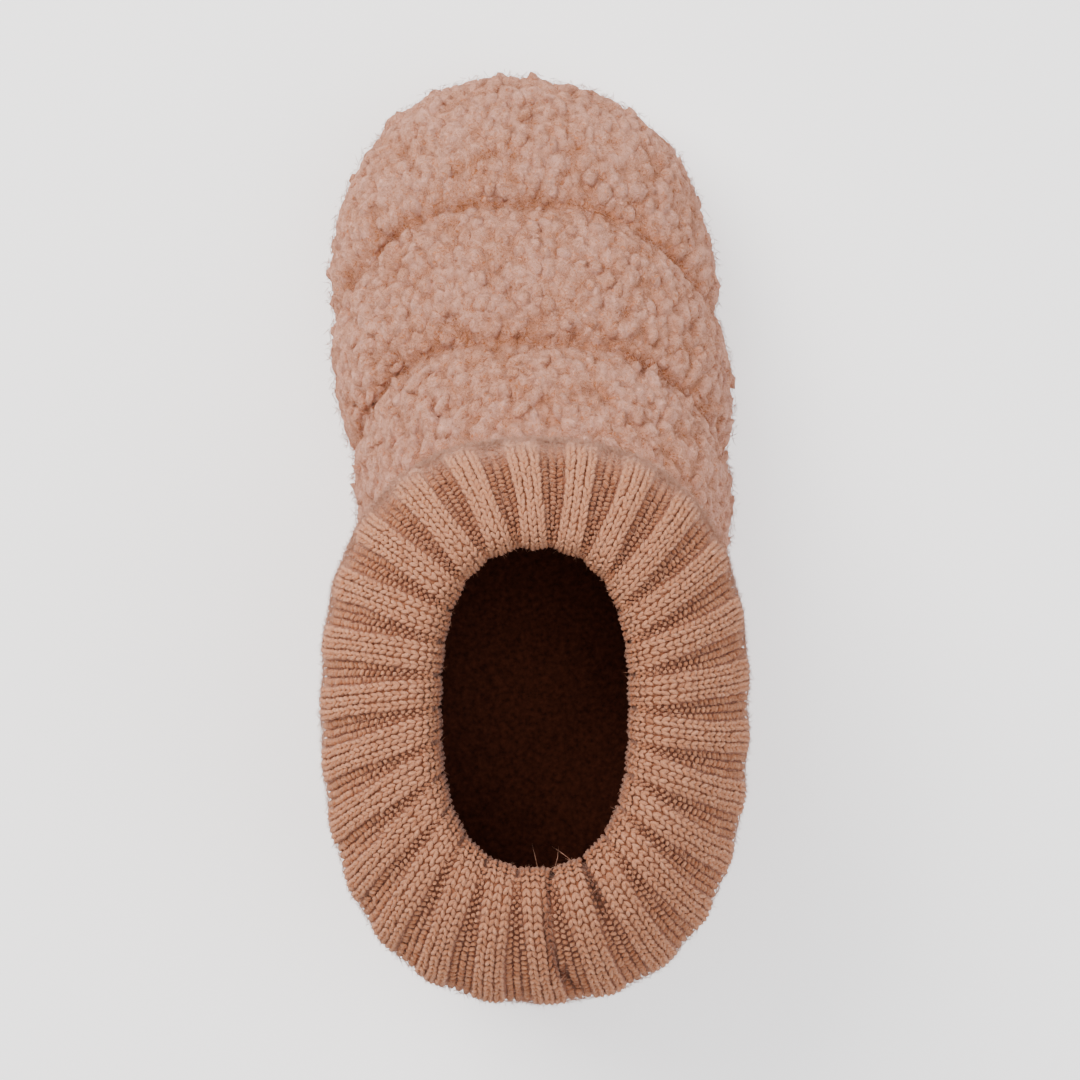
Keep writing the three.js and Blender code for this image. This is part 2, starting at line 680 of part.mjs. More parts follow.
// Section of the cuff at one turn, in millimetres across (from the rim outwards) and up
function cuffSection(turn) {
  const rim = rimRing(turn);
  const edge = cuffRing(turn);
  const span = rim.distanceTo(edge);
  const place = (across) => rim.clone().lerp(edge, across / span);
  const shellTop = topEdgeAt(turn);
  const topAcross = topShare(turn) * span;
  const topZ = outerForm.height(shellTop.x, shellTop.y);
  const atFront = ((1 + Math.cos(2 * Math.PI * turn)) / 2) ** 4;
  const tuck = lerp(CUFF_TUCK.side, CUFF_TUCK.front, atFront);
  const hemPlace = place((0.95 - tuck) * span);
  const onShell = outerForm.height(hemPlace.x, hemPlace.y) + KNIT_GAP + HEM_LIFT;
  const hem = softMax(CUFF_HEM, onShell, HEM_BLEND);
  const face = CUFF_FACE.map((row) => [
    (row.across - tuck * row.tuck) * span,
    COLLAR_HEIGHT - row.fall * (COLLAR_HEIGHT - hem),
  ]);
  const clear = ([across, z]) => {
    const p = place(across);
    return [across, Math.max(z, outerForm.height(p.x, p.y) + KNIT_GAP)];
  };
  const offsetIn = (i) => {
    const [ax, az] = face[i - 1];
    const [bx, bz] = face[i + 1];
    const n = Math.hypot(bx - ax, bz - az);
    return [face[i][0] + (CUFF_LEG * (bz - az)) / n, face[i][1] - (CUFF_LEG * (bx - ax)) / n];
  };
  // The wall is measured square to the top edge, and the section may cross it at an angle
  const along = topEdgeAt(turn + SMALL_TURN).sub(topEdgeAt(turn - SMALL_TURN)).normalize();
  const outward = edge.clone().sub(rim).normalize();
  const square = Math.abs(outward.x * along.y - outward.y * along.x);
  const innerWall = topAcross - (WALL + LINING_GAP) / square;
  const low = topZ - CUFF_LAP;
  const under = [10, 9, 7, 6, 5].map((i) => clear(offsetIn(i)));
  const roof = COLLAR_HEIGHT - CUFF_LEG - LEG_GAP;
  const neck = Math.min(innerWall, INNER_LEG + LEG_SLACK);
  const inside = [
    [neck + LEG_GAP, roof],
    [neck, roof - NECK_SLOPE],
    [innerWall, topZ + LEG_GAP],
    [innerWall, low],
    [innerWall - INNER_LEG, low],
    [lerp(innerWall - INNER_LEG, 0, LEG_BEND.across), lerp(low, COLLAR_HEIGHT, LEG_BEND.up)],
  ];
  return { place, face, under, inside };
}

function buildCollar() {
  const columns = RIBS * COLUMNS_PER_RIB;
  const rings = [];
  for (let column = 0; column < columns; column++) {
    const ring = [];
    const put = ([across, z], turn) => {
      const p = cuffSection(turn).place(across);
      ring.push(new THREE.Vector3(p.x, p.y, z));
    };
    CUFF_FACE.forEach((row, i) => {
      const { turn, raised } = ribAt(column, row.across);
      const turned = turn - RIB_TWIST * row.across;
      const { face } = cuffSection(turned);
      const [ax, az] = face[Math.max(i - 1, 0)];
      const [bx, bz] = face[Math.min(i + 1, face.length - 1)];
      const n = Math.hypot(bx - ax, bz - az);
      const raise = raised ? RIB_RAISE : 0;
      put([face[i][0] - (raise * (bz - az)) / n, face[i][1] + (raise * (bx - ax)) / n], turned);
    });
    const { turn } = ribAt(column, 1);
    const plain = cuffSection(turn - RIB_TWIST);
    for (const pair of plain.under) put(pair, turn - RIB_TWIST);
    const inner = ribAt(column, 0).turn;
    for (const pair of cuffSection(inner).inside) put(pair, inner);
    rings.push(ring);
  }
  return ringGeometry(rings);
}

// Outsole and insole: rings round the same outline as the shell's lower edge
const SOLE_STEPS = 64;

function outlineRing(loop, inset, zAt) {
  const ring = [];
  for (let i = 0; i < SOLE_STEPS; i++) {
    const u = (2 * i) / SOLE_STEPS;
    const p = loop.at(u).addScaledVector(loop.outward(u), -inset);
    ring.push(new THREE.Vector3(p.x, p.y, zAt(p.y)));
  }
  return ring;
}

// Closes a stack of rings with flat strips that join each point to its partner on the other side.
function stackGeometry(rings) {
  const points = rings.flat();
  const quads = [];
  for (let i = 0; i + 1 < rings.length; i++) {
    const low = i * SOLE_STEPS;
    const high = low + SOLE_STEPS;
    for (let j = 0; j < SOLE_STEPS; j++) {
      const k = (j + 1) % SOLE_STEPS;
      quads.push([low + j, high + j, high + k, low + k]);
    }
  }
  const geometry = quadGeometry(points, quads);
  const index = [...geometry.index.array];
  const cap = (base, up) => {
    const half = SOLE_STEPS / 2;
    for (let j = 0; j < half; j++) {
      const a = base + j;
      const b = base + j + 1;
      const c = base + ((SOLE_STEPS - j - 1) % SOLE_STEPS);
      const d = base + ((SOLE_STEPS - j) % SOLE_STEPS);
      const faces = j === 0 ? [[a, b, c]] : j === half - 1 ? [[a, b, d]] : [[a, b, c], [a, c, d]];
      for (const [p, q, r] of faces) index.push(...(up ? [p, r, q] : [p, q, r]));
    }
  };
  cap(0, false);
  cap((rings.length - 1) * SOLE_STEPS, true);
  geometry.setIndex(index);
  return geometry;
}

function buildOutsole() {
  const rings = SOLE_EDGE.map(({ round, groove, up }) => {
    const inset = round * SOLE_ROUND + groove * SIDE_GROOVE - SOLE_LEDGE;
    return outlineRing(lowerLoop, inset, (y) => lerp(soleUnder(y), soleTop(y), up));
  });
  let solid = toSolid(stackGeometry(rings));
  // Cuts between the lugs, across the forefoot and across the heel
  const cutAt = [];
  for (let y = ARCH_FRONT + LUG_PITCH; y < TOE_BREAK + 2 * LUG_PITCH; y += LUG_PITCH) cutAt.push(y);
  for (let y = ARCH_BACK - LUG_PITCH; y > HEEL_BREAK; y -= LUG_PITCH) cutAt.push(y);
  for (const y of cutAt) {
    const box = new THREE.BoxGeometry(2 * SOLE_WIDTH, LUG_CUT, SOLE_HEEL);
    box.translate(0, y, soleUnder(y) + LUG_DEPTH - SOLE_HEEL / 2);
    solid = solid.subtract(toSolid(box));
  }
  return toGeometry(solid);
}

function buildInsole() {
  const rings = INSOLE_EDGE.map(({ round, up }) => {
    const inset = WALL + SEAT + round * INSOLE_ROUND;
    return outlineRing(lowerLoop, inset, (y) => soleTop(y) + SEAT + INSOLE_THICK * up);
  });
  return stackGeometry(rings);
}

const rubber = new THREE.MeshStandardMaterial({ color: 0xa98672, roughness: 0.75, metalness: 0 });
const footbedFleece = new THREE.MeshStandardMaterial({ color: 0x2a1710, roughness: 0.95, metalness: 0 });
const sherpa = new THREE.MeshStandardMaterial({ color: 0xc19785, roughness: 0.95, metalness: 0 });
const ribKnit = new THREE.MeshStandardMaterial({ color: 0xa97a64, roughness: 0.9, metalness: 0 });

const bootie = new THREE.Group();
bootie.name = 'slipper_bootie';
bootie.add(meshFrom('outsole', buildOutsole(), rubber));
bootie.add(meshFrom('insole', buildInsole(), footbedFleece));
bootie.add(meshFrom('upper', buildUpper(), sherpa));
bootie.add(meshFrom('collar', buildCollar(), ribKnit));

export default bootie;
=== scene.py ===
"""Slipper bootie for the right foot, seen from straight above.

Metres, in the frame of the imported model: +Y to the toe, +X to the outer side, +Z up, floor at z = 0.
Named sizes are in millimetres, and MM turns them to metres. A place round the cuff is counted in
ribs, clockwise from the toe. A share along the cuff runs from inside the opening to the hem.
"""

import math

import bmesh
import bpy
import numpy as np
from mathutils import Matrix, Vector, noise
from mathutils.bvhtree import BVHTree


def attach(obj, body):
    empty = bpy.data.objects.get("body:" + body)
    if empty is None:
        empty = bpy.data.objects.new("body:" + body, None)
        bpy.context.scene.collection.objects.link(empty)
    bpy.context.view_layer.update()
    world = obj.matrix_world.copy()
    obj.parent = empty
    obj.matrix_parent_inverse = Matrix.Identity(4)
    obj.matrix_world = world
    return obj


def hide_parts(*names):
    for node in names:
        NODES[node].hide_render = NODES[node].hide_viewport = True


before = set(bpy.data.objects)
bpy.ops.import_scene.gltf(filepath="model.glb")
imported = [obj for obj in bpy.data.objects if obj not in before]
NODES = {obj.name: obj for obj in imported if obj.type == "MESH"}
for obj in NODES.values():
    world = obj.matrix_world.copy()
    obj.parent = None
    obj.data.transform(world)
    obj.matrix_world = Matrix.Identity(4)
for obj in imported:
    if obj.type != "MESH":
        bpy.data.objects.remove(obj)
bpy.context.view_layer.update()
MM = 0.001
noise.seed_set(3)  # without it noise_vector gives other curls in each run

# Camera: the photograph's view, from straight above
CAMERA_PLACE = (1.2 * MM, -1.5 * MM, 1300 * MM)
SENSOR = 36.0
FOCAL_LENGTH = 149.07

# Cuff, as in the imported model
CUFF_MIDDLE = (-0.2, -46.3)
RIM = {"half": 26.6, "front": 43.6, "back": 43.8, "square": 2.45}
CUFF = {"half": 57.6, "front": 71.2, "back": 80.6, "square": 2.5}
CUFF_UNDERSIDE = 72.0  # the cuff covers the shell above this
CUFF_COVER = 0.93  # and inside this share of the cuff's outline
RIBS = 26
RIB_TWIST = 0.009  # turn of a rib from rim to outer edge, in turns of the cuff
RIB_HALF = (0.48, 0.28)  # half of a rib's width at the rim and at the hem, as shares of its pitch
PROFILE_STEPS = 160  # points traced along a rib or a valley
RIM_SHARE = 0.3  # place of the rim along a profile that starts inside
PLEATS = (12.5, 11.5)  # valleys that are drawn in at the back, counted in ribs
PLEAT_WIDTH = 0.1  # in ribs
PLEAT_DEPTH = 1.8
VALLEY_DEPTH = 0.95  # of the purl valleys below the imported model's face

# Knit
ROW_PITCH = 2.1  # from one row of stitches to the next
YARN = 0.72  # half of the yarn's width
LEG_WIDTH = 1.35  # column width at which a stitch's leg has the yarn's own width
LEG_SLANT = 0.38  # sideways for every millimetre along the rib
PURL_ROWS = 1.1  # rows of purl beads to one row of V stitches
PURL_LENGTH = 2.1
GROUND_WALL = 2.0
GROUND_ACROSS, GROUND_ALONG = 12, 100  # points of the ground across each rib and along it
WOOL_FIBRES = 16000
STRAY_HAIRS = ((11.8, 3.2, 0.5), (12.4, 2.4, -0.6), (12.9, 2.9, 0.2))  # place, size and lean across

# Quilting
SEAM_BOW = 31.0  # how far a seam's ends lie behind its middle
BOW_POWER = 3.3
SEAMS = (92.5, 53.5, 14.5, -24.5, -63.5)
SEAM_LINE, SEAM_HOLLOW = 1.6, 5.5  # widths of the stitched line and of the hollow round it
SEAM_LINE_DEPTH, SEAM_HOLLOW_DEPTH = 1.8, 1.2

# Sherpa pile
CURL = 3.7  # from one curl raised in the shell to the next
CURL_HEIGHT = 1.7
CURL_SQUEEZE = 0.8  # of the pattern along the foot, which makes the curls a quarter longer
CLUMP = 4.1  # least distance from one loose clump of curls to the next
CLUMP_HALF = (2.0, 2.6, 1.45)  # half of a clump's width, length and height
CLUMP_KINDS = 3
CLUMP_TRIES = 30000  # random places, of which those that keep their distance are used
PILE_FIBRES = 19000
SHELL_SINK = 0.5  # of the shell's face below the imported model's, which leaves room for the curls
SHELL_FLOOR = 9.5  # the shell's outside stays above this, at the sole's top edge
PILE_FLOOR = 11.0  # clumps and fibres stay above this


def set_inputs(tree, node, values=None, links=None):
    """Sets a node's inputs, and links (node, output) pairs into them."""
    for key, value in (values or {}).items():
        node.inputs[key].default_value = value
    for key, (source, output) in (links or {}).items():
        tree.links.new(source.outputs[output], node.inputs[key])


def add_node(tree, kind, values=None, links=None, **settings):
    """Adds a node with its settings, its input values and its links."""
    node = tree.nodes.new(kind)
    for name, value in settings.items():
        setattr(node, name, value)
    set_inputs(tree, node, values, links)
    return node


def linear(code):
    """The linear colour of an sRGB hex code."""
    channels = [int(code[i : i + 2], 16) / 255 for i in (0, 2, 4)]
    return tuple(c / 12.92 if c <= 0.04045 else ((c + 0.055) / 1.055) ** 2.4 for c in channels) + (1.0,)


def new_material(name):
    """An empty material with a Principled shader on its output."""
    material = bpy.data.materials.new(name)
    material.use_nodes = True
    tree = material.node_tree
    tree.nodes.clear()
    shader = add_node(tree, "ShaderNodeBsdfPrincipled")
    add_node(tree, "ShaderNodeOutputMaterial", links={"Surface": (shader, "BSDF")})
    return material, tree, shader


def set_stops(ramp, *stops):
    """Gives a colour ramp its (place, hex) stops."""
    elements = ramp.color_ramp.elements
    while len(elements) < len(stops):
        elements.new(0.5)
    for element, (place, code) in zip(elements, stops):
        element.position = place
        element.color = linear(code)


# Sherpa: knitted polyester with a curled pile. Matt and soft, with a faint bright edge where loose fibres
# catch the light. Its colour holds painted shade and light: brown in the hollows between the curls and
# clumps and along the quilting seams, paler on their crowns. Its curled strands run along the middle of a
# warped noise. Real ones are some 0.1 mm thick, and these are drawn coarse enough to show.
SHERPA_STRAND = 1.5
SHERPA_PATCH = 16.0


def sherpa_material():
    material, tree, shader = new_material("sherpa_polyester_pile")
    pile = add_node(tree, "ShaderNodeAttribute", attribute_name="pile")
    crown = add_node(tree, "ShaderNodeAttribute", attribute_name="crown")
    # Painted shade and light: pile and crown make the hollows and seams brown and the crowns pale.
    pile_tone_and_shade = add_node(
        tree,
        "ShaderNodeMath",
        operation="ADD",
        links={0: (pile, "Fac"), 1: (crown, "Fac")},
    )
    place = add_node(tree, "ShaderNodeTexCoord")
    fibre = add_node(
        tree,
        "ShaderNodeTexNoise",
        values={"Scale": 1 / (SHERPA_STRAND * MM), "Detail": 3.0, "Roughness": 0.6, "Distortion": 2.0},
        links={"Vector": (place, "Object")},
    )
    middle = add_node(
        tree,
        "ShaderNodeMath",
        operation="SUBTRACT",
        values={1: 0.5},
        links={0: (fibre, "Fac")},
    )
    off = add_node(tree, "ShaderNodeMath", operation="ABSOLUTE", links={0: (middle, "Value")})
    curl = add_node(
        tree,
        "ShaderNodeMath",
        operation="MULTIPLY_ADD",
        values={1: -7.0, 2: 1.0},
        links={0: (off, "Value")},
        use_clamp=True,
    )
    patch = add_node(
        tree,
        "ShaderNodeTexNoise",
        values={"Scale": 1 / (SHERPA_PATCH * MM), "Detail": 2.0},
        links={"Vector": (place, "Object")},
    )
    mixed = add_node(
        tree,
        "ShaderNodeMath",
        operation="MULTIPLY_ADD",
        values={1: 0.38},
        links={0: (curl, "Value"), 2: (pile_tone_and_shade, "Value")},
    )
    spread = add_node(
        tree,
        "ShaderNodeMath",
        operation="MULTIPLY_ADD",
        values={1: 0.3},
        links={0: (patch, "Fac"), 2: (mixed, "Value")},
    )
    ramp = add_node(tree, "ShaderNodeValToRGB", links={"Fac": (spread, "Value")})
    set_stops(ramp, (0.3, "8C532F"), (0.52, "B97551"), (0.72, "D19276"), (1.0, "E5AB97"))
    bump = add_node(
        tree,
        "ShaderNodeBump",
        values={"Strength": 0.8, "Distance": 0.45 * MM},
        links={"Height": (curl, "Value")},
    )
    set_inputs(
        tree,
        shader,
        values={
            "Roughness": 0.95,
            "Specular IOR Level": 0.15,
            "Sheen Weight": 0.4,
            "Sheen Roughness": 0.5,
            "Sheen Tint": linear("E6BFAD"),
        },
        links={"Base Color": (ramp, "Color"), "Normal": (bump, "Normal")},
    )
    return material


# Brushed wool yarn: matt, with fine fibres along it and a soft pale edge at a grazing angle. Where it
# is brushed most, a paler layer of fibres lies over the stitches; along the cuff's outer edge and at the
# rim that paleness is partly painted sheen. Its lightness also holds painted shade: dark inside the
# opening, in the pleats and in the valleys. The fibres are drawn far coarser than wool's 0.03 mm, so
# that they show.
WOOL_STRAND = 0.9


def yarn_material():
    material, tree, shader = new_material("brushed_wool_yarn")
    tone = add_node(tree, "ShaderNodeAttribute", attribute_name="tone")
    place = add_node(tree, "ShaderNodeTexCoord")
    fibre = add_node(
        tree,
        "ShaderNodeTexNoise",
        values={"Scale": 1 / (WOOL_STRAND * MM), "Detail": 3.0, "Roughness": 0.7, "Distortion": 1.2},
        links={"Vector": (place, "Object")},
    )
    mixed = add_node(
        tree,
        "ShaderNodeMath",
        operation="MULTIPLY_ADD",
        values={1: 0.6},
        links={0: (fibre, "Fac"), 2: (tone, "Fac")},
    )
    ramp = add_node(tree, "ShaderNodeValToRGB", links={"Fac": (mixed, "Value")})
    # The dark end of the ramp is painted shade, inside the opening, in the pleats and in the valleys.
    set_stops(
        ramp,
        (0.22, "2A140C"),
        (0.52, "78452E"),
        (0.76, "AE6C48"),
        (0.96, "D1906A"),
        (1.0, "D69772"),
    )
    fuzz = add_node(tree, "ShaderNodeAttribute", attribute_name="fuzz")
    strands = add_node(
        tree,
        "ShaderNodeMath",
        operation="MULTIPLY_ADD",
        values={1: 2.4, 2: -0.45},
        links={0: (fibre, "Fac")},
    )
    haze_and_sheen = add_node(
        tree,
        "ShaderNodeMath",
        operation="MULTIPLY",
        links={0: (fuzz, "Fac"), 1: (strands, "Value")},
        use_clamp=True,
    )
    brushed = add_node(
        tree,
        "ShaderNodeMix",
        data_type="RGBA",
        links={0: (haze_and_sheen, "Value"), 6: (ramp, "Color")},
        values={7: linear("CC9D8A")},
    )
    bump = add_node(
        tree,
        "ShaderNodeBump",
        values={"Strength": 0.7, "Distance": 1.3 * MM},
        links={"Height": (fibre, "Fac")},
    )
    set_inputs(
        tree,
        shader,
        values={
            "Roughness": 0.92,
            "Specular IOR Level": 0.15,
            "Sheen Weight": 0.5,
            "Sheen Roughness": 0.4,
            "Sheen Tint": linear("E6C4B4"),
        },
        links={"Base Color": (brushed, 2), "Normal": (bump, "Normal")},
    )
    return material


# Short dark pile: brushed polyester lining, almost black in the shadow of the shoe. Its tufts are
# drawn coarser than real ones, so that they show.
LINING_TUFT = 1.4


def lining_material():
    material, tree, shader = new_material("dark_brushed_lining")
    place = add_node(tree, "ShaderNodeTexCoord")
    pile = add_node(
        tree,
        "ShaderNodeTexNoise",
        values={"Scale": 1 / (LINING_TUFT * MM), "Detail": 3.0, "Roughness": 0.6},
        links={"Vector": (place, "Object")},
    )
    ramp = add_node(tree, "ShaderNodeValToRGB", links={"Fac": (pile, "Fac")})
    set_stops(ramp, (0.3, "3A1B10"), (0.7, "5E3020"))
    bump = add_node(
        tree,
        "ShaderNodeBump",
        values={"Strength": 0.6, "Distance": 0.5 * MM},
        links={"Height": (pile, "Fac")},
    )
    set_inputs(
        tree,
        shader,
        values={"Roughness": 0.95, "Specular IOR Level": 0.1, "Sheen Weight": 0.05},
        links={"Base Color": (ramp, "Color"), "Normal": (bump, "Normal")},
    )
    return material


# Moulded thermoplastic rubber: fine sparked grain from the mould, faintly glossy. The grain is drawn
# some three times as coarse as a real one, so that it shows.
MOULD_GRAIN = 0.9
RUBBER_CLOUD = 22.0


def rubber_material():
    material, tree, shader = new_material("moulded_thermoplastic_rubber")
    place = add_node(tree, "ShaderNodeTexCoord")
    grain, cloud = (
        add_node(
            tree,
            "ShaderNodeTexNoise",
            values={"Scale": 1 / (size * MM), "Detail": 2.0},
            links={"Vector": (place, "Object")},
        )
        for size in (MOULD_GRAIN, RUBBER_CLOUD)
    )
    ramp = add_node(tree, "ShaderNodeValToRGB", links={"Fac": (cloud, "Fac")})
    set_stops(ramp, (0.3, "A07E6C"), (0.7, "AD8B78"))
    bump = add_node(
        tree,
        "ShaderNodeBump",
        values={"Strength": 0.25, "Distance": 0.15 * MM},
        links={"Height": (grain, "Fac")},
    )
    set_inputs(
        tree,
        shader,
        values={"Roughness": 0.62},
        links={"Base Color": (ramp, "Color"), "Normal": (bump, "Normal")},
    )
    return material


SHERPA = sherpa_material()
WOOL = yarn_material()
LINING = lining_material()
RUBBER = rubber_material()


def smooth_step(low, high, x):
    """0 up to low and 1 from high on, with a smooth way between."""
    k = np.clip((x - low) / (high - low), 0, 1)
    return k * k * (3 - 2 * k)


def bell(x, width):
    """1 where x is 0, falling off smoothly over the width to both sides."""
    return np.exp(-((x / width) ** 2))


def unit(v):
    return v / np.linalg.norm(v, axis=-1, keepdims=True)


def positions(mesh):
    out = np.empty(len(mesh.vertices) * 3)
    mesh.vertices.foreach_get("co", out)
    return out.reshape(-1, 3)


def store(mesh, name, values):
    """Keeps a value for each vertex, which the materials read."""
    layer = mesh.attributes.new(name, "FLOAT", "POINT")
    layer.data.foreach_set("value", np.asarray(values, np.float32))


def set_smooth(mesh):
    mesh.polygons.foreach_set("use_smooth", [True] * len(mesh.polygons))
    mesh.update()


def add_object(name, data):
    made = bpy.data.objects.new(name, data)
    bpy.context.scene.collection.objects.link(made)
    return made


def baked(source, name):
    """A plain mesh object of what source's modifiers make. The source goes."""
    graph = bpy.context.evaluated_depsgraph_get()
    mesh = bpy.data.meshes.new_from_object(source.evaluated_get(graph))
    mesh.name = name
    bpy.data.objects.remove(source)
    return add_object(name, mesh)


def closed_mesh(name, points, faces):
    """A closed mesh through points in millimetres, with its faces turned outwards."""
    mesh = bpy.data.meshes.new(name)
    mesh.from_pydata((np.asarray(points, float) * MM).tolist(), [], faces)
    work = bmesh.new()
    work.from_mesh(mesh)
    bmesh.ops.recalc_face_normals(work, faces=work.faces)
    work.to_mesh(mesh)
    work.free()
    return mesh


def spindle_faces(rings, sides):
    """Faces of a closed shape with a point at each end and rings of vertices between them."""
    last = 1 + rings * sides
    faces = []
    for i in range(sides):
        n = (i + 1) % sides
        faces.append((0, 1 + i, 1 + n))
        for a in range(1, last - sides, sides):
            faces.append((a + i, a + sides + i, a + sides + n, a + n))
        faces.append((last - sides + i, last, last - sides + n))
    return faces


def merged(node):
    """A node's mesh as a bmesh with its doubles merged."""
    work = bmesh.new()
    work.from_mesh(NODES[node].data)
    bmesh.ops.remove_doubles(work, verts=work.verts, dist=0.004 * MM)
    return work


def finish_piece(piece, slot, *nodes):
    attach(piece, "root")
    if nodes:
        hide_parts(*nodes)


# Sole and footbed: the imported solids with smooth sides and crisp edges
CRISP_EDGE = math.radians(32)


def build_plain(node, name, material, slot):
    work = merged(node)
    mesh = bpy.data.meshes.new(name)
    work.to_mesh(mesh)
    work.free()
    mesh.materials.append(material)
    set_smooth(mesh)
    mesh.set_sharp_from_angle(angle=CRISP_EDGE)
    finish_piece(add_object(name, mesh), slot, node)


# Rings round the ankle, squared a little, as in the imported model
RING_STEPS = 2881


def ring_reach(size, s, c):
    """A ring's distance from its middle, at the sine and cosine of an angle from the toe."""
    reach = np.where(c > 0, size["front"], size["back"])
    power = size["square"]
    return (np.abs(s / size["half"]) ** power + np.abs(c / reach) ** power) ** (-1 / power)


def squared_ring(size):
    """Points of a ring at equal lengths, as a function of the turn, clockwise from the toe."""
    angle = np.linspace(0, 2 * math.pi, RING_STEPS)
    s, c = np.sin(angle), np.cos(angle)
    radius = ring_reach(size, s, c)
    x = CUFF_MIDDLE[0] + radius * s
    y = CUFF_MIDDLE[1] + radius * c
    length = np.concatenate([[0], np.cumsum(np.hypot(np.diff(x), np.diff(y)))])

    def at(turn):
        goal = (np.asarray(turn) % 1) * length[-1]
        return np.stack([np.interp(goal, length, x), np.interp(goal, length, y)], -1)

    return at


RIM_RING = squared_ring(RIM)
CUFF_RING = squared_ring(CUFF)


def under_cuff(points):
    """True where the cuff covers the shell from above."""
    x, y = points[:, 0] - CUFF_MIDDLE[0], points[:, 1] - CUFF_MIDDLE[1]
    angle = np.arctan2(x, y)
    ring = ring_reach(CUFF, np.sin(angle), np.cos(angle))
    return (np.hypot(x, y) < ring * CUFF_COVER) & (points[:, 2] > CUFF_UNDERSIDE)


# Shell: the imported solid, rounded, with the pile's curls raised on its outside
WALL_REACH = 16 * MM  # more than the padded wall's thickness
AXIS_BACK = Vector((0.0, -92 * MM, 38 * MM))  # the line through the middle of the foot's room
AXIS_FRONT = Vector((-6 * MM, 88 * MM, 30 * MM))
QUAD_ANGLE = math.radians(60)  # triangles that turn less than this are joined
OUTLINE_BINS = 90


def from_axis(point):
    """Distance from the line through the middle of the shoe."""
    line = AXIS_FRONT - AXIS_BACK
    share = max(0.0, min(1.0, (point - AXIS_BACK).dot(line) / line.length_squared))
    return (point - (AXIS_BACK + line * share)).length


def shell_base():
    """The upper as rounded quads. Material 0 is the outside, 1 the lining."""
    work = merged("upper")
    tree = BVHTree.FromBMesh(work)
    for face in work.faces:
        face.normal_update()
        centre = face.calc_center_median()
        start = centre - face.normal * 0.5 * MM
        hit, _, _, _ = tree.ray_cast(start, -face.normal, WALL_REACH)
        outside = hit is None or from_axis(centre) > from_axis(hit)
        face.material_index = 0 if outside else 1
    bmesh.ops.join_triangles(
        work,
        faces=work.faces,
        cmp_materials=True,
        angle_face_threshold=QUAD_ANGLE,
        angle_shape_threshold=QUAD_ANGLE,
    )
    mesh = bpy.data.meshes.new("upper_base")
    work.to_mesh(mesh)
    work.free()
    source = add_object("upper_base", mesh)
    rounding = source.modifiers.new("rounding", "SUBSURF")
    rounding.levels = rounding.render_levels = 2
    return baked(source, "upper_sherpa_shell")


def refine_outside(mesh):
    """Subdivides the outside where it can be seen, and tells which vertices lie on the outside."""
    hidden = under_cuff(positions(mesh) / MM)
    work = bmesh.new()
    work.from_mesh(mesh)
    work.verts.ensure_lookup_table()
    fine = set()
    for face in work.faces:
        seen = not all(hidden[v.index] for v in face.verts)
        if face.material_index == 0 and face.normal.z > -0.4 and seen:
            fine.update(face.edges)
    bmesh.ops.subdivide_edges(work, edges=list(fine), cuts=1, use_grid_fill=True)
    work.normal_update()
    work.to_mesh(mesh)
    work.verts.ensure_lookup_table()
    outside = np.array([all(f.material_index == 0 for f in v.link_faces) for v in work.verts])
    work.free()
    return outside


def quilt_place(points):
    """Each point's place along the quilting, in millimetres: constant along a seam."""
    y = points[:, 1]
    bins = np.linspace(y.min(), y.max(), OUTLINE_BINS)
    which = np.clip(np.digitize(y, bins), 1, len(bins) - 1)
    slices = [points[which == i, 0] for i in range(1, len(bins))]
    low = np.array([x.min() if len(x) else np.nan for x in slices])
    high = np.array([x.max() if len(x) else np.nan for x in slices])
    centre = (bins[1:] + bins[:-1]) / 2
    good = ~np.isnan(low)
    low = np.interp(y, centre[good], low[good])
    high = np.interp(y, centre[good], high[good])
    half = np.maximum((high - low) / 2, MM)
    reach = np.clip(np.abs(points[:, 0] - (low + high) / 2) / half, 0, 1)
    return y / MM + SEAM_BOW * reach**BOW_POWER


def seam_distance(points):
    """How far each point lies from the nearest quilting seam, in millimetres along the foot."""
    place = quilt_place(points)
    return np.min([np.abs(place - s) for s in SEAMS], axis=0)


def curl_heights(points):
    """Height of the pile at each point: 0 in the hollows between the curls, about 1 on their crowns.

    Each cell of a warped Voronoi pattern is a curl: a dome, with a crease along its border and a
    height of its own.
    """
    heights = []
    for point in points / MM:
        p = Vector(point)
        warp = noise.noise_vector(p / 5.0) * 0.5 + noise.noise_vector(p / 2.2) * 0.16
        near, places = noise.voronoi(Vector((p.x, p.y * CURL_SQUEEZE, p.z)) / CURL + warp)
        crease = min((near[1] - near[0]) / 0.3, 1.0)
        dome = 1 - (near[0] / 0.85) ** 2
        hollow = 0.28 * (1 - crease) ** 2
        heights.append(dome - hollow + 0.35 * crease * noise.noise(places[0] * 3.1))
    return np.array(heights)


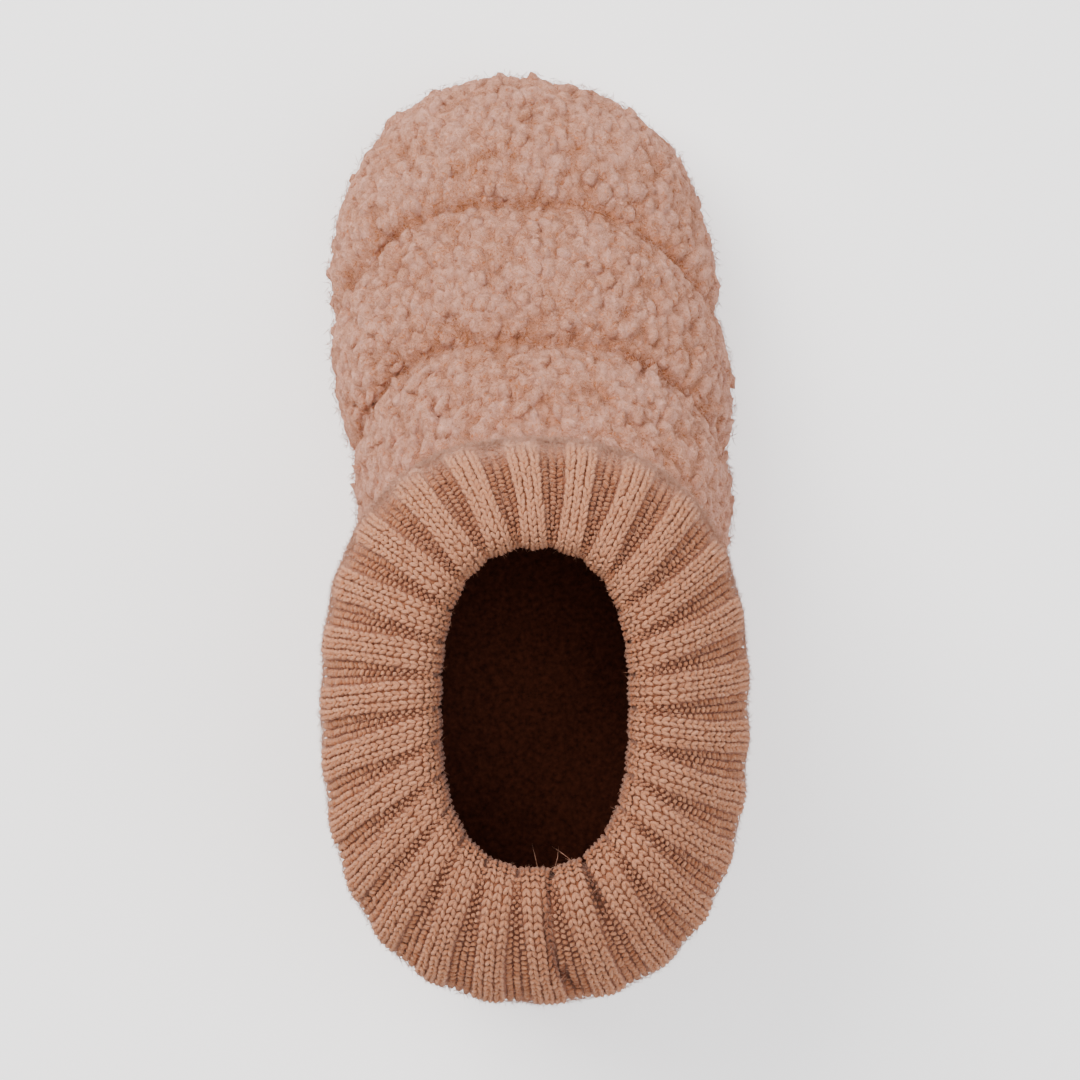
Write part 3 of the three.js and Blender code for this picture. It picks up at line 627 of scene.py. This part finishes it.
def build_shell():
    shell = shell_base()
    mesh = shell.data
    outside = refine_outside(mesh)
    points = positions(mesh)
    normals = np.empty(len(points) * 3)
    mesh.vertices.foreach_get("normal", normals)
    normals = normals.reshape(-1, 3)
    seam = seam_distance(points)
    stitched, hollow = bell(seam, SEAM_LINE), bell(seam, SEAM_HOLLOW)
    uneven = np.array([noise.noise(Vector(p) / (15 * MM)) for p in points])
    facing = 0.35 + 0.65 * smooth_step(0.1, 0.8, normals[:, 2])
    bare = ~outside | under_cuff(points / MM)
    curls = np.zeros(len(points))
    curls[~bare] = curl_heights(points[~bare])
    seam_depth = SEAM_LINE_DEPTH * stitched + SEAM_HOLLOW_DEPTH * hollow
    lift = -SHELL_SINK - seam_depth * facing + 0.5 * uneven
    lift += (CURL_HEIGHT - 0.6 * stitched) * curls
    lift[bare] = 0
    moved = points + normals * (lift * MM)[:, None]
    moved[:, 2] = np.where(outside, np.maximum(moved[:, 2], SHELL_FLOOR * MM), moved[:, 2])
    mesh.vertices.foreach_set("co", moved.ravel())
    # Painted shade: lower in the hollows between the curls and along the seams, which turns the sherpa
    # brown there.
    store(mesh, "pile", 0.21 + 0.28 * np.clip(curls, 0, 1.2) - 0.16 * stitched - 0.05 * hollow)
    mesh.materials.append(SHERPA)
    mesh.materials.append(LINING)
    set_smooth(mesh)
    finish_piece(shell, "sherpa_fleece", "upper")
    return shell


# One tree puts every stitch, clump and fibre in its place
def stitch_tree(name):
    """Puts one shape on every point, its Y along the point's 'aim' and its Z along 'up'."""
    tree = bpy.data.node_groups.new(name, "GeometryNodeTree")
    for label, way, kind in (
        ("Points", "INPUT", "NodeSocketGeometry"),
        ("Shape", "INPUT", "NodeSocketObject"),
        ("Finish", "INPUT", "NodeSocketMaterial"),
        ("Mesh", "OUTPUT", "NodeSocketGeometry"),
    ):
        tree.interface.new_socket(label, in_out=way, socket_type=kind)
    group = add_node(tree, "NodeGroupInput")
    aim, up, size = (
        add_node(
            tree,
            "GeometryNodeInputNamedAttribute",
            data_type="FLOAT_VECTOR",
            values={"Name": attribute},
        )
        for attribute in ("aim", "up", "size")
    )
    turn = add_node(
        tree,
        "FunctionNodeAxesToRotation",
        primary_axis="Y",
        secondary_axis="Z",
        links={"Primary Axis": (aim, "Attribute"), "Secondary Axis": (up, "Attribute")},
    )
    shape = add_node(tree, "GeometryNodeObjectInfo", links={"Object": (group, "Shape")})
    placed = add_node(
        tree,
        "GeometryNodeInstanceOnPoints",
        links={
            "Points": (group, "Points"),
            "Instance": (shape, "Geometry"),
            "Rotation": (turn, "Rotation"),
            "Scale": (size, "Attribute"),
        },
    )
    real = add_node(tree, "GeometryNodeRealizeInstances", links={"Geometry": (placed, "Instances")})
    done = add_node(
        tree,
        "GeometryNodeSetMaterial",
        links={"Geometry": (real, "Geometry"), "Material": (group, "Finish")},
    )
    add_node(tree, "NodeGroupOutput", links={"Mesh": (done, "Geometry")})
    return tree


STITCHES = stitch_tree("stitches_on_points")


def scatter(name, shape_mesh, material, points, aim, up, size, **values):
    """One mesh of a shape repeated on points, each with its own direction, size and values."""
    cloud = bpy.data.meshes.new(name + "_points")
    cloud.from_pydata((points * MM).tolist(), [], [])
    for key, data in (("aim", aim), ("up", up), ("size", size)):
        layer = cloud.attributes.new(key, "FLOAT_VECTOR", "POINT")
        layer.data.foreach_set("vector", np.asarray(data, np.float32).ravel())
    for key, data in values.items():
        store(cloud, key, data)
    source = add_object(name + "_points", cloud)
    shape = add_object(name + "_shape", shape_mesh)
    modifier = source.modifiers.new("stitches", "NODES")
    modifier.node_group = STITCHES
    items = STITCHES.interface.items_tree
    sockets = {item.name: item.identifier for item in items if item.in_out == "INPUT"}
    modifier[sockets["Shape"]] = shape
    modifier[sockets["Finish"]] = material
    made = baked(source, name)
    bpy.data.objects.remove(shape)
    set_smooth(made.data)
    return made


# Loose clumps and fibres of the pile
COMBED = {"y": 25, "width": 16, "above": 40}  # where the clumps are combed along the foot
CLUMP_RINGS, CLUMP_SIDES = 4, 8
HAIR = {"radius": 0.07, "length": 3.0, "bend": 0.6}  # thicker than a real fibre, so that it shows


def clump_shape(name, seed):
    """A rounded, uneven clump of curls with a radius of about 1 mm, its middle at the origin."""
    ball = [Vector((0, 0, 1))]
    for ring in range(1, CLUMP_RINGS + 1):
        tilt = math.pi * ring / (CLUMP_RINGS + 1)
        for side in range(CLUMP_SIDES):
            angle = 2 * math.pi * side / CLUMP_SIDES
            x, y = math.sin(tilt) * math.cos(angle), math.sin(tilt) * math.sin(angle)
            ball.append(Vector((x, y, math.cos(tilt))))
    ball.append(Vector((0, 0, -1)))
    shift = Vector((seed * 3.7, 0, 0))
    points = np.array([p * (1 + 0.38 * noise.noise(p * 1.9 + shift)) for p in ball])
    mesh = closed_mesh(name, points, spindle_faces(CLUMP_RINGS, CLUMP_SIDES))
    # Painted light: the clump's top is paler than its sides and underside.
    store(mesh, "crown", 0.14 * smooth_step(0.2, 0.95, points[:, 2]))
    return mesh


def hair_shape(name):
    """A thin closed needle along Y, slightly bent, with its root at the origin."""
    radius, length, bend = HAIR["radius"], HAIR["length"], HAIR["bend"]
    points = []
    for k, thick in ((0.0, 0.8), (0.5, 1.0)):
        for i in range(3):
            angle = 2 * math.pi * i / 3
            x = radius * thick * math.cos(angle) + bend * k * k
            points.append((x, length * k, radius * thick * math.sin(angle)))
    points.append((bend * 1.6, length, 0.0))
    faces = [(2, 1, 0)]
    for i in range(3):
        n = (i + 1) % 3
        faces += [(i, n, 3 + n, 3 + i), (3 + i, 3 + n, 6)]
    return closed_mesh(name, points, faces)


def outside_faces(shell):
    """The shell's points in millimetres, and the triangles of its outside that aren't covered."""
    mesh = shell.data
    mesh.calc_loop_triangles()
    points = positions(mesh) / MM
    outside = [p.material_index == 0 for p in mesh.polygons]
    faces = np.array([t.vertices[:] for t in mesh.loop_triangles if outside[t.polygon_index]])
    centre = points[faces].mean(1)
    return points, faces[~under_cuff(centre) & (centre[:, 2] > PILE_FLOOR)]


def on_faces(points, faces, count, rng):
    """Random places on triangles, evenly by area, with the normal of each."""
    a, b, c = points[faces[:, 0]], points[faces[:, 1]], points[faces[:, 2]]
    cross = np.cross(b - a, c - a)
    area = np.linalg.norm(cross, axis=1)
    pick = rng.choice(len(faces), count, p=area / area.sum())
    u, w = rng.random((2, count))
    flip = u + w > 1
    u[flip], w[flip] = 1 - u[flip], 1 - w[flip]
    here = a[pick] + (b - a)[pick] * u[:, None] + (c - a)[pick] * w[:, None]
    return here, unit(cross[pick])


def thinned(here, spacing):
    """Indices of places that keep their distance from every one kept before them."""
    cells = np.floor(here / spacing.max()).astype(int)
    kept, filled = [], {}
    for i, cell in enumerate(map(tuple, cells)):
        near = [
            j
            for dx in (-1, 0, 1)
            for dy in (-1, 0, 1)
            for dz in (-1, 0, 1)
            for j in filled.get((cell[0] + dx, cell[1] + dy, cell[2] + dz), ())
        ]
        if not near or (np.linalg.norm(here[near] - here[i], axis=1) > spacing[i]).all():
            kept.append(i)
            filled.setdefault(cell, []).append(i)
    return np.array(kept)


def build_clumps(shell, rng):
    """Loose clumps among the raised curls, smaller along the quilting seams."""
    points, faces = outside_faces(shell)
    here, normal = on_faces(points, faces, CLUMP_TRIES, rng)
    seam = seam_distance(here * MM)
    small = 0.66 + 0.34 * smooth_step(0.8, 4.0, seam)
    kept = thinned(here, CLUMP * small)
    here, normal, small, seam = here[kept], normal[kept], small[kept], seam[kept]
    count = len(kept)
    toe = np.array((0.0, 1.0, 0.0))
    along = unit(toe - normal * normal[:, 1:2] + 1e-6)
    aim = unit(along + rng.normal(0, 0.5, (count, 1)) * np.cross(normal, along))
    up = unit(normal + rng.normal(0, 0.18, (count, 3)))
    combed = bell(here[:, 1] - COMBED["y"], COMBED["width"]) * (here[:, 2] > COMBED["above"])
    grow = small * rng.uniform(0.85, 1.25, count)
    size = np.stack(
        [
            CLUMP_HALF[0] * grow * rng.uniform(0.85, 1.15, count) * (1 - 0.2 * combed),
            CLUMP_HALF[1] * grow * rng.uniform(0.85, 1.2, count) * (1 + 0.3 * combed),
            CLUMP_HALF[2] * grow * rng.uniform(0.8, 1.25, count),
        ],
        -1,
    )
    steep = 1 - smooth_step(0.1, 0.6, normal[:, 2])
    sink = (0.95 + 0.45 * rng.random(count)) * grow + 0.5 * steep
    place = here - normal * sink[:, None]
    # Random lightness, with painted shade: clumps on the quilting seams are darker.
    pile = np.clip(0.31 + rng.normal(0, 0.04, count) - 0.08 * (seam < 1.3), 0, 1)
    kind = rng.integers(0, CLUMP_KINDS, count)
    for k in range(CLUMP_KINDS):
        own = kind == k
        clumps = scatter(
            f"upper_sherpa_clumps_{k + 1}",
            clump_shape(f"sherpa_clump_{k + 1}", k + 1),
            SHERPA,
            place[own],
            aim[own],
            up[own],
            size[own],
            pile=pile[own],
        )
        finish_piece(clumps, "sherpa_fleece")


def build_fibres(shell, rng):
    """Loose fibres that lie over the curls and stand off the shell's edges."""
    points, faces = outside_faces(shell)
    count = PILE_FIBRES
    here, normal = on_faces(points, faces, count, rng)
    free = unit(np.cross(normal, rng.normal(size=(count, 3))))
    aim = unit(free + normal * rng.normal(0.25, 0.3, (count, 1)))
    size = np.stack([np.ones(count), rng.uniform(0.45, 0.95, count), np.ones(count)], -1)
    lift = rng.uniform(0.5, 1.15, count)
    fibres = scatter(
        "upper_sherpa_fibres",
        hair_shape("sherpa_fibre"),
        SHERPA,
        here + normal * lift[:, None],
        aim,
        normal,
        size,
        pile=rng.normal(0.5, 0.06, count),
    )
    finish_piece(fibres, "sherpa_fleece")


# Cuff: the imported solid's face traced along each rib and each valley, then knitted. The rays start
# from above it, from inside the opening and from outside.
RAY_REACH = 60.0
ABOVE_CUFF = 140.0
INSIDE_START = 74.0  # height at which a profile starts inside the opening
OUTSIDE_END = 50.0  # height below the hem
HEM_JUMP = 6.0  # a step longer than this has left the cuff


def trace_profile(tree, place):
    """The cuff's face at one turn round it, from inside the opening over the fold to the hem."""

    def cast(turn, across, z, way):
        rim, edge = RIM_RING(turn), CUFF_RING(turn)
        plan = rim + (edge - rim) * across
        out = (edge - rim) / np.linalg.norm(edge - rim)
        aim = {"out": (*out, 0), "in": (*-out, 0), "down": (0, 0, -1)}[way]
        start = {"out": plan - out * 20, "in": plan + out * 25, "down": plan}[way]
        hit, *_ = tree.ray_cast(Vector((*start, z)) * MM, Vector(aim), RAY_REACH * MM)
        return None if hit is None else np.array(hit) / MM

    shares = np.linspace(0.05, 0.88, 22)
    top = [cast(place - RIB_TWIST * a, a, ABOVE_CUFF, "down") for a in shares]
    first, last = top[0][2], top[-1][2]
    inner = [cast(place, 0.0, z, "out") for z in np.linspace(INSIDE_START, first - 0.8, 12)]
    outer = []
    for z in np.arange(last - 1.0, OUTSIDE_END, -1.5):
        hit = cast(place - RIB_TWIST, 1.0, z, "in")
        if hit is None or (outer and np.linalg.norm(hit - outer[-1]) > HEM_JUMP):
            break
        outer.append(hit)
    line = np.array([p for p in inner + top + outer if p is not None])
    for _ in range(3):
        line[1:-1] = (line[:-2] + 2 * line[1:-1] + line[2:]) / 4
    return line


def by_length(line, steps):
    """A line's points at equal lengths, and its whole length."""
    length = np.concatenate([[0], np.cumsum(np.linalg.norm(np.diff(line, axis=0), axis=1))])
    goal = np.linspace(0, length[-1], steps)
    return np.stack([np.interp(goal, length, line[:, i]) for i in range(3)], -1), length[-1]


def build_profiles():
    """Profiles of all ribs and of the valleys after them, and a rib's mean length."""
    work = merged("collar")
    tree = BVHTree.FromBMesh(work)
    work.free()
    crowns, valleys, lengths = [], [], []
    for rib in range(RIBS):
        line, total = by_length(trace_profile(tree, rib / RIBS), PROFILE_STEPS)
        crowns.append(line)
        lengths.append(total)
        valleys.append(by_length(trace_profile(tree, (rib + 0.5) / RIBS), PROFILE_STEPS)[0])
    return np.array(crowns), np.array(valleys), float(np.mean(lengths))


CROWNS, VALLEYS, RIB_LENGTH = build_profiles()


def silhouettes():
    """Share along each rib at which the cuff reaches farthest out."""
    shares = []
    for rib in range(RIBS):
        turn = (rib - 0.5) / RIBS
        rim, edge = RIM_RING(turn), CUFF_RING(turn)
        out = (edge - rim) / np.linalg.norm(edge - rim)
        shares.append(np.argmax((CROWNS[rib, :, :2] - rim) @ out) / (PROFILE_STEPS - 1))
    shares = np.array(shares)
    for _ in range(2):
        shares = (np.roll(shares, 1) + 2 * shares + np.roll(shares, -1)) / 4
    return shares


EDGE_SHARES = silhouettes()


def around(grid, place, along):
    """Points of a ring of profiles at a place round it, on a smooth curve through its neighbours."""
    i = np.floor(place).astype(int)
    k = (place - i)[..., None]
    step = np.clip(along, 0, 1) * (PROFILE_STEPS - 1)
    j = np.clip(np.floor(step).astype(int), 0, PROFILE_STEPS - 2)
    m = (step - j)[..., None]

    def row(n):
        n = n % RIBS
        return grid[n, j] * (1 - m) + grid[n, j + 1] * m

    a, b, c, d = row(i - 1), row(i), row(i + 1), row(i + 2)
    return b + 0.5 * k * (c - a + k * (2 * a - 5 * b + 4 * c - d + k * (3 * (b - c) + d - a)))


def past_edge(place, along):
    """Share of a profile's length beyond its outermost place, under 0 on top of the cuff."""
    edges = np.append(EDGE_SHARES, EDGE_SHARES[0])
    return along - np.interp(np.asarray(place) % RIBS, np.arange(RIBS + 1), edges)


def toward_toe(place, width):
    """1 at the front of the cuff, falling off over a width in ribs to both sides."""
    turn = np.asarray(place) % RIBS
    return bell(np.minimum(turn, RIBS - turn), width)


def near_rim(along):
    """1 at the rim of the opening, 0 on the rest of the cuff."""
    before = smooth_step(RIM_SHARE - 0.16, RIM_SHARE - 0.04, along)
    return before * (1 - smooth_step(RIM_SHARE + 0.04, RIM_SHARE + 0.2, along))


def off_rib(place):
    """Distance from the middle of the nearest rib, in ribs."""
    return np.abs(place - np.round(place))


def rib_half(along):
    """Half of a rib's width, in ribs: wide at the rim and narrower soon after it."""
    share = np.clip((along - RIM_SHARE) / (1 - RIM_SHARE), 0, 1)
    return RIB_HALF[0] + (RIB_HALF[1] - RIB_HALF[0]) * np.minimum(share * 2.6, 1) ** 0.8


def in_valley(place, along, before, past):
    """0 on a rib and 1 in a valley. It changes from before to past the rib's edge, in ribs."""
    half = rib_half(along)
    return smooth_step(half - before, half + past, off_rib(place))


def pleat_at(place, along):
    """The two deep pleats at the back of the heel, where the cuff's ends are joined."""
    wave = 0.3 * np.sin((along - RIM_SHARE) * 7)
    first = bell(place - (PLEATS[0] + wave), PLEAT_WIDTH)
    second = bell(place - PLEATS[1], PLEAT_WIDTH) * (1 - smooth_step(0.42, 0.55, along))
    return first * (1 - smooth_step(0.7, 0.78, along)) + second


def groove_depth(place, along):
    """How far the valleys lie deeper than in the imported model: least at the rim, most in the pleats."""
    half = rib_half(along)
    valley = smooth_step(half - 0.03, np.minimum(half + 0.1, 0.5), off_rib(place))
    return valley * (VALLEY_DEPTH - 0.7 * near_rim(along)) + PLEAT_DEPTH * pleat_at(place, along)


def fuzz_at(place, along):
    """How far the brushed fibres hide the stitches and pale them: most at the outer edge, in front and at
    the hem. The paleness along the outer edge and at the rim is partly painted sheen.
    """
    past = past_edge(place, along)
    turn = np.asarray(place) % RIBS
    front = toward_toe(place, 4.5)
    inward = 0.045 + 0.085 * front + 0.012 * np.sin(turn * 5.1) * np.sin(turn * 1.7)
    # Along the outer edge, as seen from above: brushed fibres and painted sheen.
    belt = (0.6 + 0.35 * front) * bell(past, np.where(past < 0, inward, 0.035))
    # At the rim, less in front: a pale edge, partly painted sheen.
    brim_fuzz_and_sheen = 0.55 * (1 - 0.85 * front) * bell(along - RIM_SHARE + 0.025, 0.03)
    hem = smooth_step(0.93, 1.0, along)
    return np.clip(np.maximum(np.maximum(belt, brim_fuzz_and_sheen), 0.1) + hem, 0, 1)


def tone_at(place, along):
    """Lightness of the yarn, with painted shade: dark inside the opening, in the pleats and in the
    valleys near the rim and in front, and a little paler on the front ribs.
    """
    front = toward_toe(place, 3.5)
    # Painted shade inside the opening, reaching a little farther out in front.
    inside = smooth_step(RIM_SHARE - 0.09, RIM_SHARE + 0.07, along - 0.035 * front)
    valley = in_valley(place, along, 0.02, 0.08)
    # Painted shade in the valleys near the rim and in the pleats.
    dark = (1 - 0.2 * valley * near_rim(along)) * (1 - 0.6 * np.clip(pleat_at(place, along), 0, 1))
    # In front, painted light on the ribs and painted shade in the valleys.
    dark = dark * (1 + front * (0.08 - 0.26 * valley))
    return (0.04 + 0.56 * inside) * dark


def cuff_point(place, along):
    """The knit's face at a place round the cuff and a share along its profile."""
    place, along = np.broadcast_arrays(np.asarray(place, float), np.asarray(along, float))
    crown = around(CROWNS, place, along)
    valley = around(VALLEYS, place - 0.5, along)
    off = off_rib(place)
    dome = np.clip(1 - (off / (rib_half(along) + 0.08)) ** 2.4, 0, 1) ** 0.7
    front = toward_toe(place, 3.2)
    finger = 1 - (0.05 + 0.8 * front) * (off / 0.5) ** 2.2
    swell = 0.5 + (0.2 - 0.14 * front) * np.cos(2 * math.pi * off)
    rim = near_rim(along)
    edge = smooth_step(-0.16, -0.02, past_edge(place, along))
    swell = swell + (0.5 - swell) * smooth_step(0.9, 0.98, along)
    up = (dome * (1 - edge) + swell * edge) * (1 - rim) + 1.05 * finger * rim
    return valley + (crown - valley) * up[..., None]


def cuff_frame(place, along):
    """Point, outward normal, direction across the ribs and direction along them."""
    place, along = np.broadcast_arrays(np.asarray(place, float), np.asarray(along, float))
    before, after = np.clip(along - 0.006, 0, 1), np.clip(along + 0.006, 0, 1)
    side = unit(cuff_point(place + 0.04, along) - cuff_point(place - 0.04, along))
    down = unit(cuff_point(place, after) - cuff_point(place, before))
    return cuff_point(place, along), unit(np.cross(side, down)), side, down


def rib_pitch(place, along):
    """Distance from one rib to the next."""
    across = cuff_point(place + 0.5, along) - cuff_point(place - 0.5, along)
    return np.linalg.norm(across, axis=-1)


def out_and_back(out, back):
    """Values along the outside, and back along the inside, which is four times as coarse."""
    return np.concatenate([out, back[:, ::-4]], axis=1)


def build_cuff_ground():
    """The cloth behind the stitches: a closed ring with a wall."""
    place, along = np.meshgrid(
        np.arange(RIBS * GROUND_ACROSS) / GROUND_ACROSS,
        np.linspace(0, 1, GROUND_ALONG),
        indexing="ij",
    )
    here, normal, _, _ = cuff_frame(place, along)
    fuzz = fuzz_at(place, along)
    raised = (0.65 + 0.25 * toward_toe(place, 4.0)) * fuzz
    outer = here - normal * (0.5 - raised + groove_depth(place, along))[..., None]
    points = out_and_back(outer, outer - normal * GROUND_WALL)
    rows, columns = points.shape[:2]
    corner = np.arange(rows * columns).reshape(rows, columns)
    beside, below = np.roll(corner, -1, axis=1), np.roll(corner, -1, axis=0)
    opposite = np.roll(below, -1, axis=1)
    faces = np.stack([corner, beside, opposite, below], -1).reshape(-1, 4)
    mesh = closed_mesh("cuff_knit_ground", points.reshape(-1, 3), faces.tolist())
    valley = in_valley(place, along, 0.02, 0.05)
    # Painted shade: the cloth behind the stitches is darker than they are, and darker still in the
    # valleys; where brushed it turns paler, partly painted sheen.
    shade = tone_at(place, along) * (0.62 - 0.24 * valley * (1 - fuzz) + 0.38 * fuzz)
    store(mesh, "tone", out_and_back(shade, shade).ravel())
    store(mesh, "fuzz", out_and_back(fuzz, fuzz).ravel())
    mesh.materials.append(WOOL)
    set_smooth(mesh)
    finish_piece(add_object("cuff_knit_ground", mesh), "rib_knit", "collar")


BEAD_SIDES = 4
LEG_RINGS = ((-0.32, 0.8), (0.0, 1.0), (0.32, 0.8))  # place along a bead and its thickness there
PURL_RINGS = ((-0.26, 0.85), (0.26, 0.85))


def bead_shape(name, width, height, length, rings):
    """A closed, pointed bead of yarn along Y, with its middle at the origin."""
    points = [(0, -length / 2, 0)]
    for share, thick in rings:
        for side in range(BEAD_SIDES):
            angle = 2 * math.pi * side / BEAD_SIDES
            x, z = width * thick * math.cos(angle), height * thick * math.sin(angle)
            points.append((x, share * length, z))
    points.append((0, length / 2, 0))
    return closed_mesh(name, points, spindle_faces(len(rings), BEAD_SIDES))


def build_knit_legs(rng):
    """The V-shaped stitches: three columns on every rib, with two slanting legs to a stitch."""
    start, end = RIM_SHARE - 0.1, 0.995
    rows = int((1 - start) * RIB_LENGTH / ROW_PITCH)
    row = start + (np.arange(rows) + 0.5) / rows * (end - start)
    rib, column, v, side = np.meshgrid(np.arange(RIBS), (-1, 0, 1), row, (-1, 1), indexing="ij")
    rib, column, v, side = (a.ravel().astype(float) for a in (rib, column, v, side))
    count = len(v)
    half = rib_half(v)
    place = rib + column * half * 0.66 + side * half * 0.135
    here, normal, across, down = cuff_frame(place, v)
    width = rib_pitch(place, v) * half / 3 / LEG_WIDTH
    aim = unit(down + across * (side * LEG_SLANT)[:, None] + normal * 0.1)
    wobble = rng.normal(0, 0.12, (count, 3))
    crown = np.clip(1 - (np.abs(place - rib) / half) ** 2, 0, 1)
    fuzz = fuzz_at(place, v)
    lift = 0.1 + 0.3 * crown - 0.95 * fuzz - 0.7 * groove_depth(place, v)
    legs = scatter(
        "cuff_knit_stitches",
        bead_shape("knit_leg_bead", YARN * 0.92, YARN, ROW_PITCH * 1.3, LEG_RINGS),
        WOOL,
        here + normal * lift[:, None] + wobble,
        aim,
        normal,
        np.stack([width, np.ones(count), 0.6 + 0.4 * width], -1),
        tone=tone_at(place, v) + rng.normal(0, 0.03, count),
        fuzz=fuzz * 0.8,
    )
    finish_piece(legs, "rib_knit")


def build_purl_bumps(rng):
    """The purl stitches: beads across the valleys, in three staggered columns."""
    start, end = RIM_SHARE + 0.06, 0.99
    rows = int((1 - start) * RIB_LENGTH / ROW_PITCH * PURL_ROWS)
    rib, column, row = np.meshgrid(np.arange(RIBS), np.arange(3), np.arange(rows), indexing="ij")
    rib, column, row = (a.ravel().astype(float) for a in (rib, column, row))
    odd = column % 2
    count = len(odd)
    v = start + (row + 0.5 * odd) / rows * (end - start)
    gap = 0.5 - rib_half(v)
    place = rib + 0.5 + (column - 1) * gap * 0.6
    here, normal, across, down = cuff_frame(place, v)
    fuzz = fuzz_at(place, v)
    sink = groove_depth(place, v) - 0.35 + 0.6 * fuzz
    points = here - normal * sink[:, None] + rng.normal(0, 0.1, (count, 3))
    reach = np.clip(rib_pitch(place, v) * gap * 0.68, 1.0, 2.3)
    tilt = (0.45 - 0.9 * odd) + rng.normal(0, 0.2, count)
    # Painted shade: the purl beads, which lie in the valleys, are a shade darker.
    bumps = scatter(
        "cuff_purl_stitches",
        bead_shape("purl_bead", YARN, 1.0, PURL_LENGTH, PURL_RINGS),
        WOOL,
        points,
        unit(across + down * tilt[:, None]),
        normal,
        np.stack([np.ones(count), reach / PURL_LENGTH, np.ones(count)], -1),
        tone=tone_at(place, v) * 0.97 + rng.normal(0, 0.04, count),
        fuzz=fuzz * 0.8,
    )
    finish_piece(bumps, "rib_knit")


def build_cuff_hairs(rng):
    """Loose wool fibres on the knit: half of them in front, and most along the outer edge."""
    count = WOOL_FIBRES
    place = rng.uniform(0, RIBS, count)
    forward = rng.random(count) < 0.5
    place = np.where(forward, rng.normal(0, 3.4, count) % RIBS, place)
    belt = rng.normal(0, 0.045, count) - past_edge(place, 0.0)
    spread = rng.random(count) < np.where(forward, 0.1, 0.6)
    v = np.where(spread, rng.uniform(RIM_SHARE - 0.04, 1, count), belt)
    v = np.clip(v, 0, 1)
    stray = np.arange(len(STRAY_HAIRS))
    stray_place, stray_size, stray_lean = np.array(STRAY_HAIRS).T
    place[stray] = stray_place
    v[stray] = RIM_SHARE - 0.03
    here, normal, across, down = cuff_frame(place, v)
    lean = rng.normal(0, 1, (count, 1)) * across + rng.normal(0.3, 0.9, (count, 1)) * down
    aim = unit(unit(lean) + normal * rng.uniform(0.0, 0.45, (count, 1)))
    up = unit(np.cross(aim, rng.normal(size=(count, 3))))
    size = np.stack([np.ones(count), rng.uniform(0.5, 1.25, count), np.ones(count)], -1)
    # Painted shade: fibres inside the opening are dark.
    tone = 0.62 * smooth_step(RIM_SHARE - 0.12, RIM_SHARE, v) + 0.05
    aim[stray] = unit(normal[stray] - 0.8 * down[stray] + stray_lean[:, None] * across[stray])
    size[stray, 1] = stray_size
    tone[stray] = 0.65
    hairs = scatter(
        "cuff_loose_fibres",
        hair_shape("wool_fibre"),
        WOOL,
        here,
        aim,
        up,
        size,
        tone=tone,
        fuzz=0.4 + 0.6 * fuzz_at(place, v),
    )
    finish_piece(hairs, "rib_knit")


# Stage, in metres
FLOOR_HALF = 3.0
AIM_HEIGHT = 0.05
LIGHTS = (  # name, place, width, power, colour
    ("key_light", (-0.75, 0.75, 1.15), 1.0, 30.5, "FFF9F4"),
    ("fill_light", (0.9, -0.2, 1.2), 1.3, 11.5, "F6F8FF"),
    ("top_light", (0.0, 0.1, 1.9), 1.2, 11.5, "FFFFFF"),
)


def build_stage():
    """Plain pale floor, soft studio light from the toe's medial side, and the overhead camera."""
    mesh = bpy.data.meshes.new("floor")
    corners = [(FLOOR_HALF * x, FLOOR_HALF * y, 0) for x, y in ((-1, -1), (1, -1), (1, 1), (-1, 1))]
    mesh.from_pydata(corners, [], [(0, 1, 2, 3)])
    floor = add_object("floor", mesh)
    material, tree, shader = new_material("pale_paper_floor")
    set_inputs(
        tree,
        shader,
        values={
            "Base Color": linear("FEFEFE"),
            "Roughness": 0.9,
            "Emission Color": linear("FFFFFF"),
            "Emission Strength": 0.8,
        },
    )
    mesh.materials.append(material)
    for name, place, width, power, code in LIGHTS:
        data = bpy.data.lights.new(name, "AREA")
        data.size = width
        data.energy = power
        data.color = linear(code)[:3]
        lamp = add_object(name, data)
        lamp.location = place
        aim = Vector((0, 0, AIM_HEIGHT)) - Vector(place)
        lamp.rotation_euler = aim.to_track_quat("-Z", "Y").to_euler()
    world = bpy.data.worlds.new("studio")
    world.use_nodes = True
    background = world.node_tree.nodes["Background"]
    background.inputs["Color"].default_value = linear("FBFBFC")
    background.inputs["Strength"].default_value = 0.5
    bpy.context.scene.world = world
    data = bpy.data.cameras.new("overhead_camera")
    data.sensor_width = SENSOR
    data.lens = FOCAL_LENGTH
    camera = add_object("overhead_camera", data)
    camera.location = CAMERA_PLACE
    bpy.context.scene.camera = camera


build_stage()
build_plain("outsole", "outsole_rubber", RUBBER, "outsole_rubber")
build_plain("insole", "footbed", LINING, "footbed_fleece")
shell = build_shell()
build_clumps(shell, np.random.default_rng(5))
build_fibres(shell, np.random.default_rng(6))
build_cuff_ground()
build_knit_legs(np.random.default_rng(7))
build_purl_bumps(np.random.default_rng(9))
build_cuff_hairs(np.random.default_rng(13))
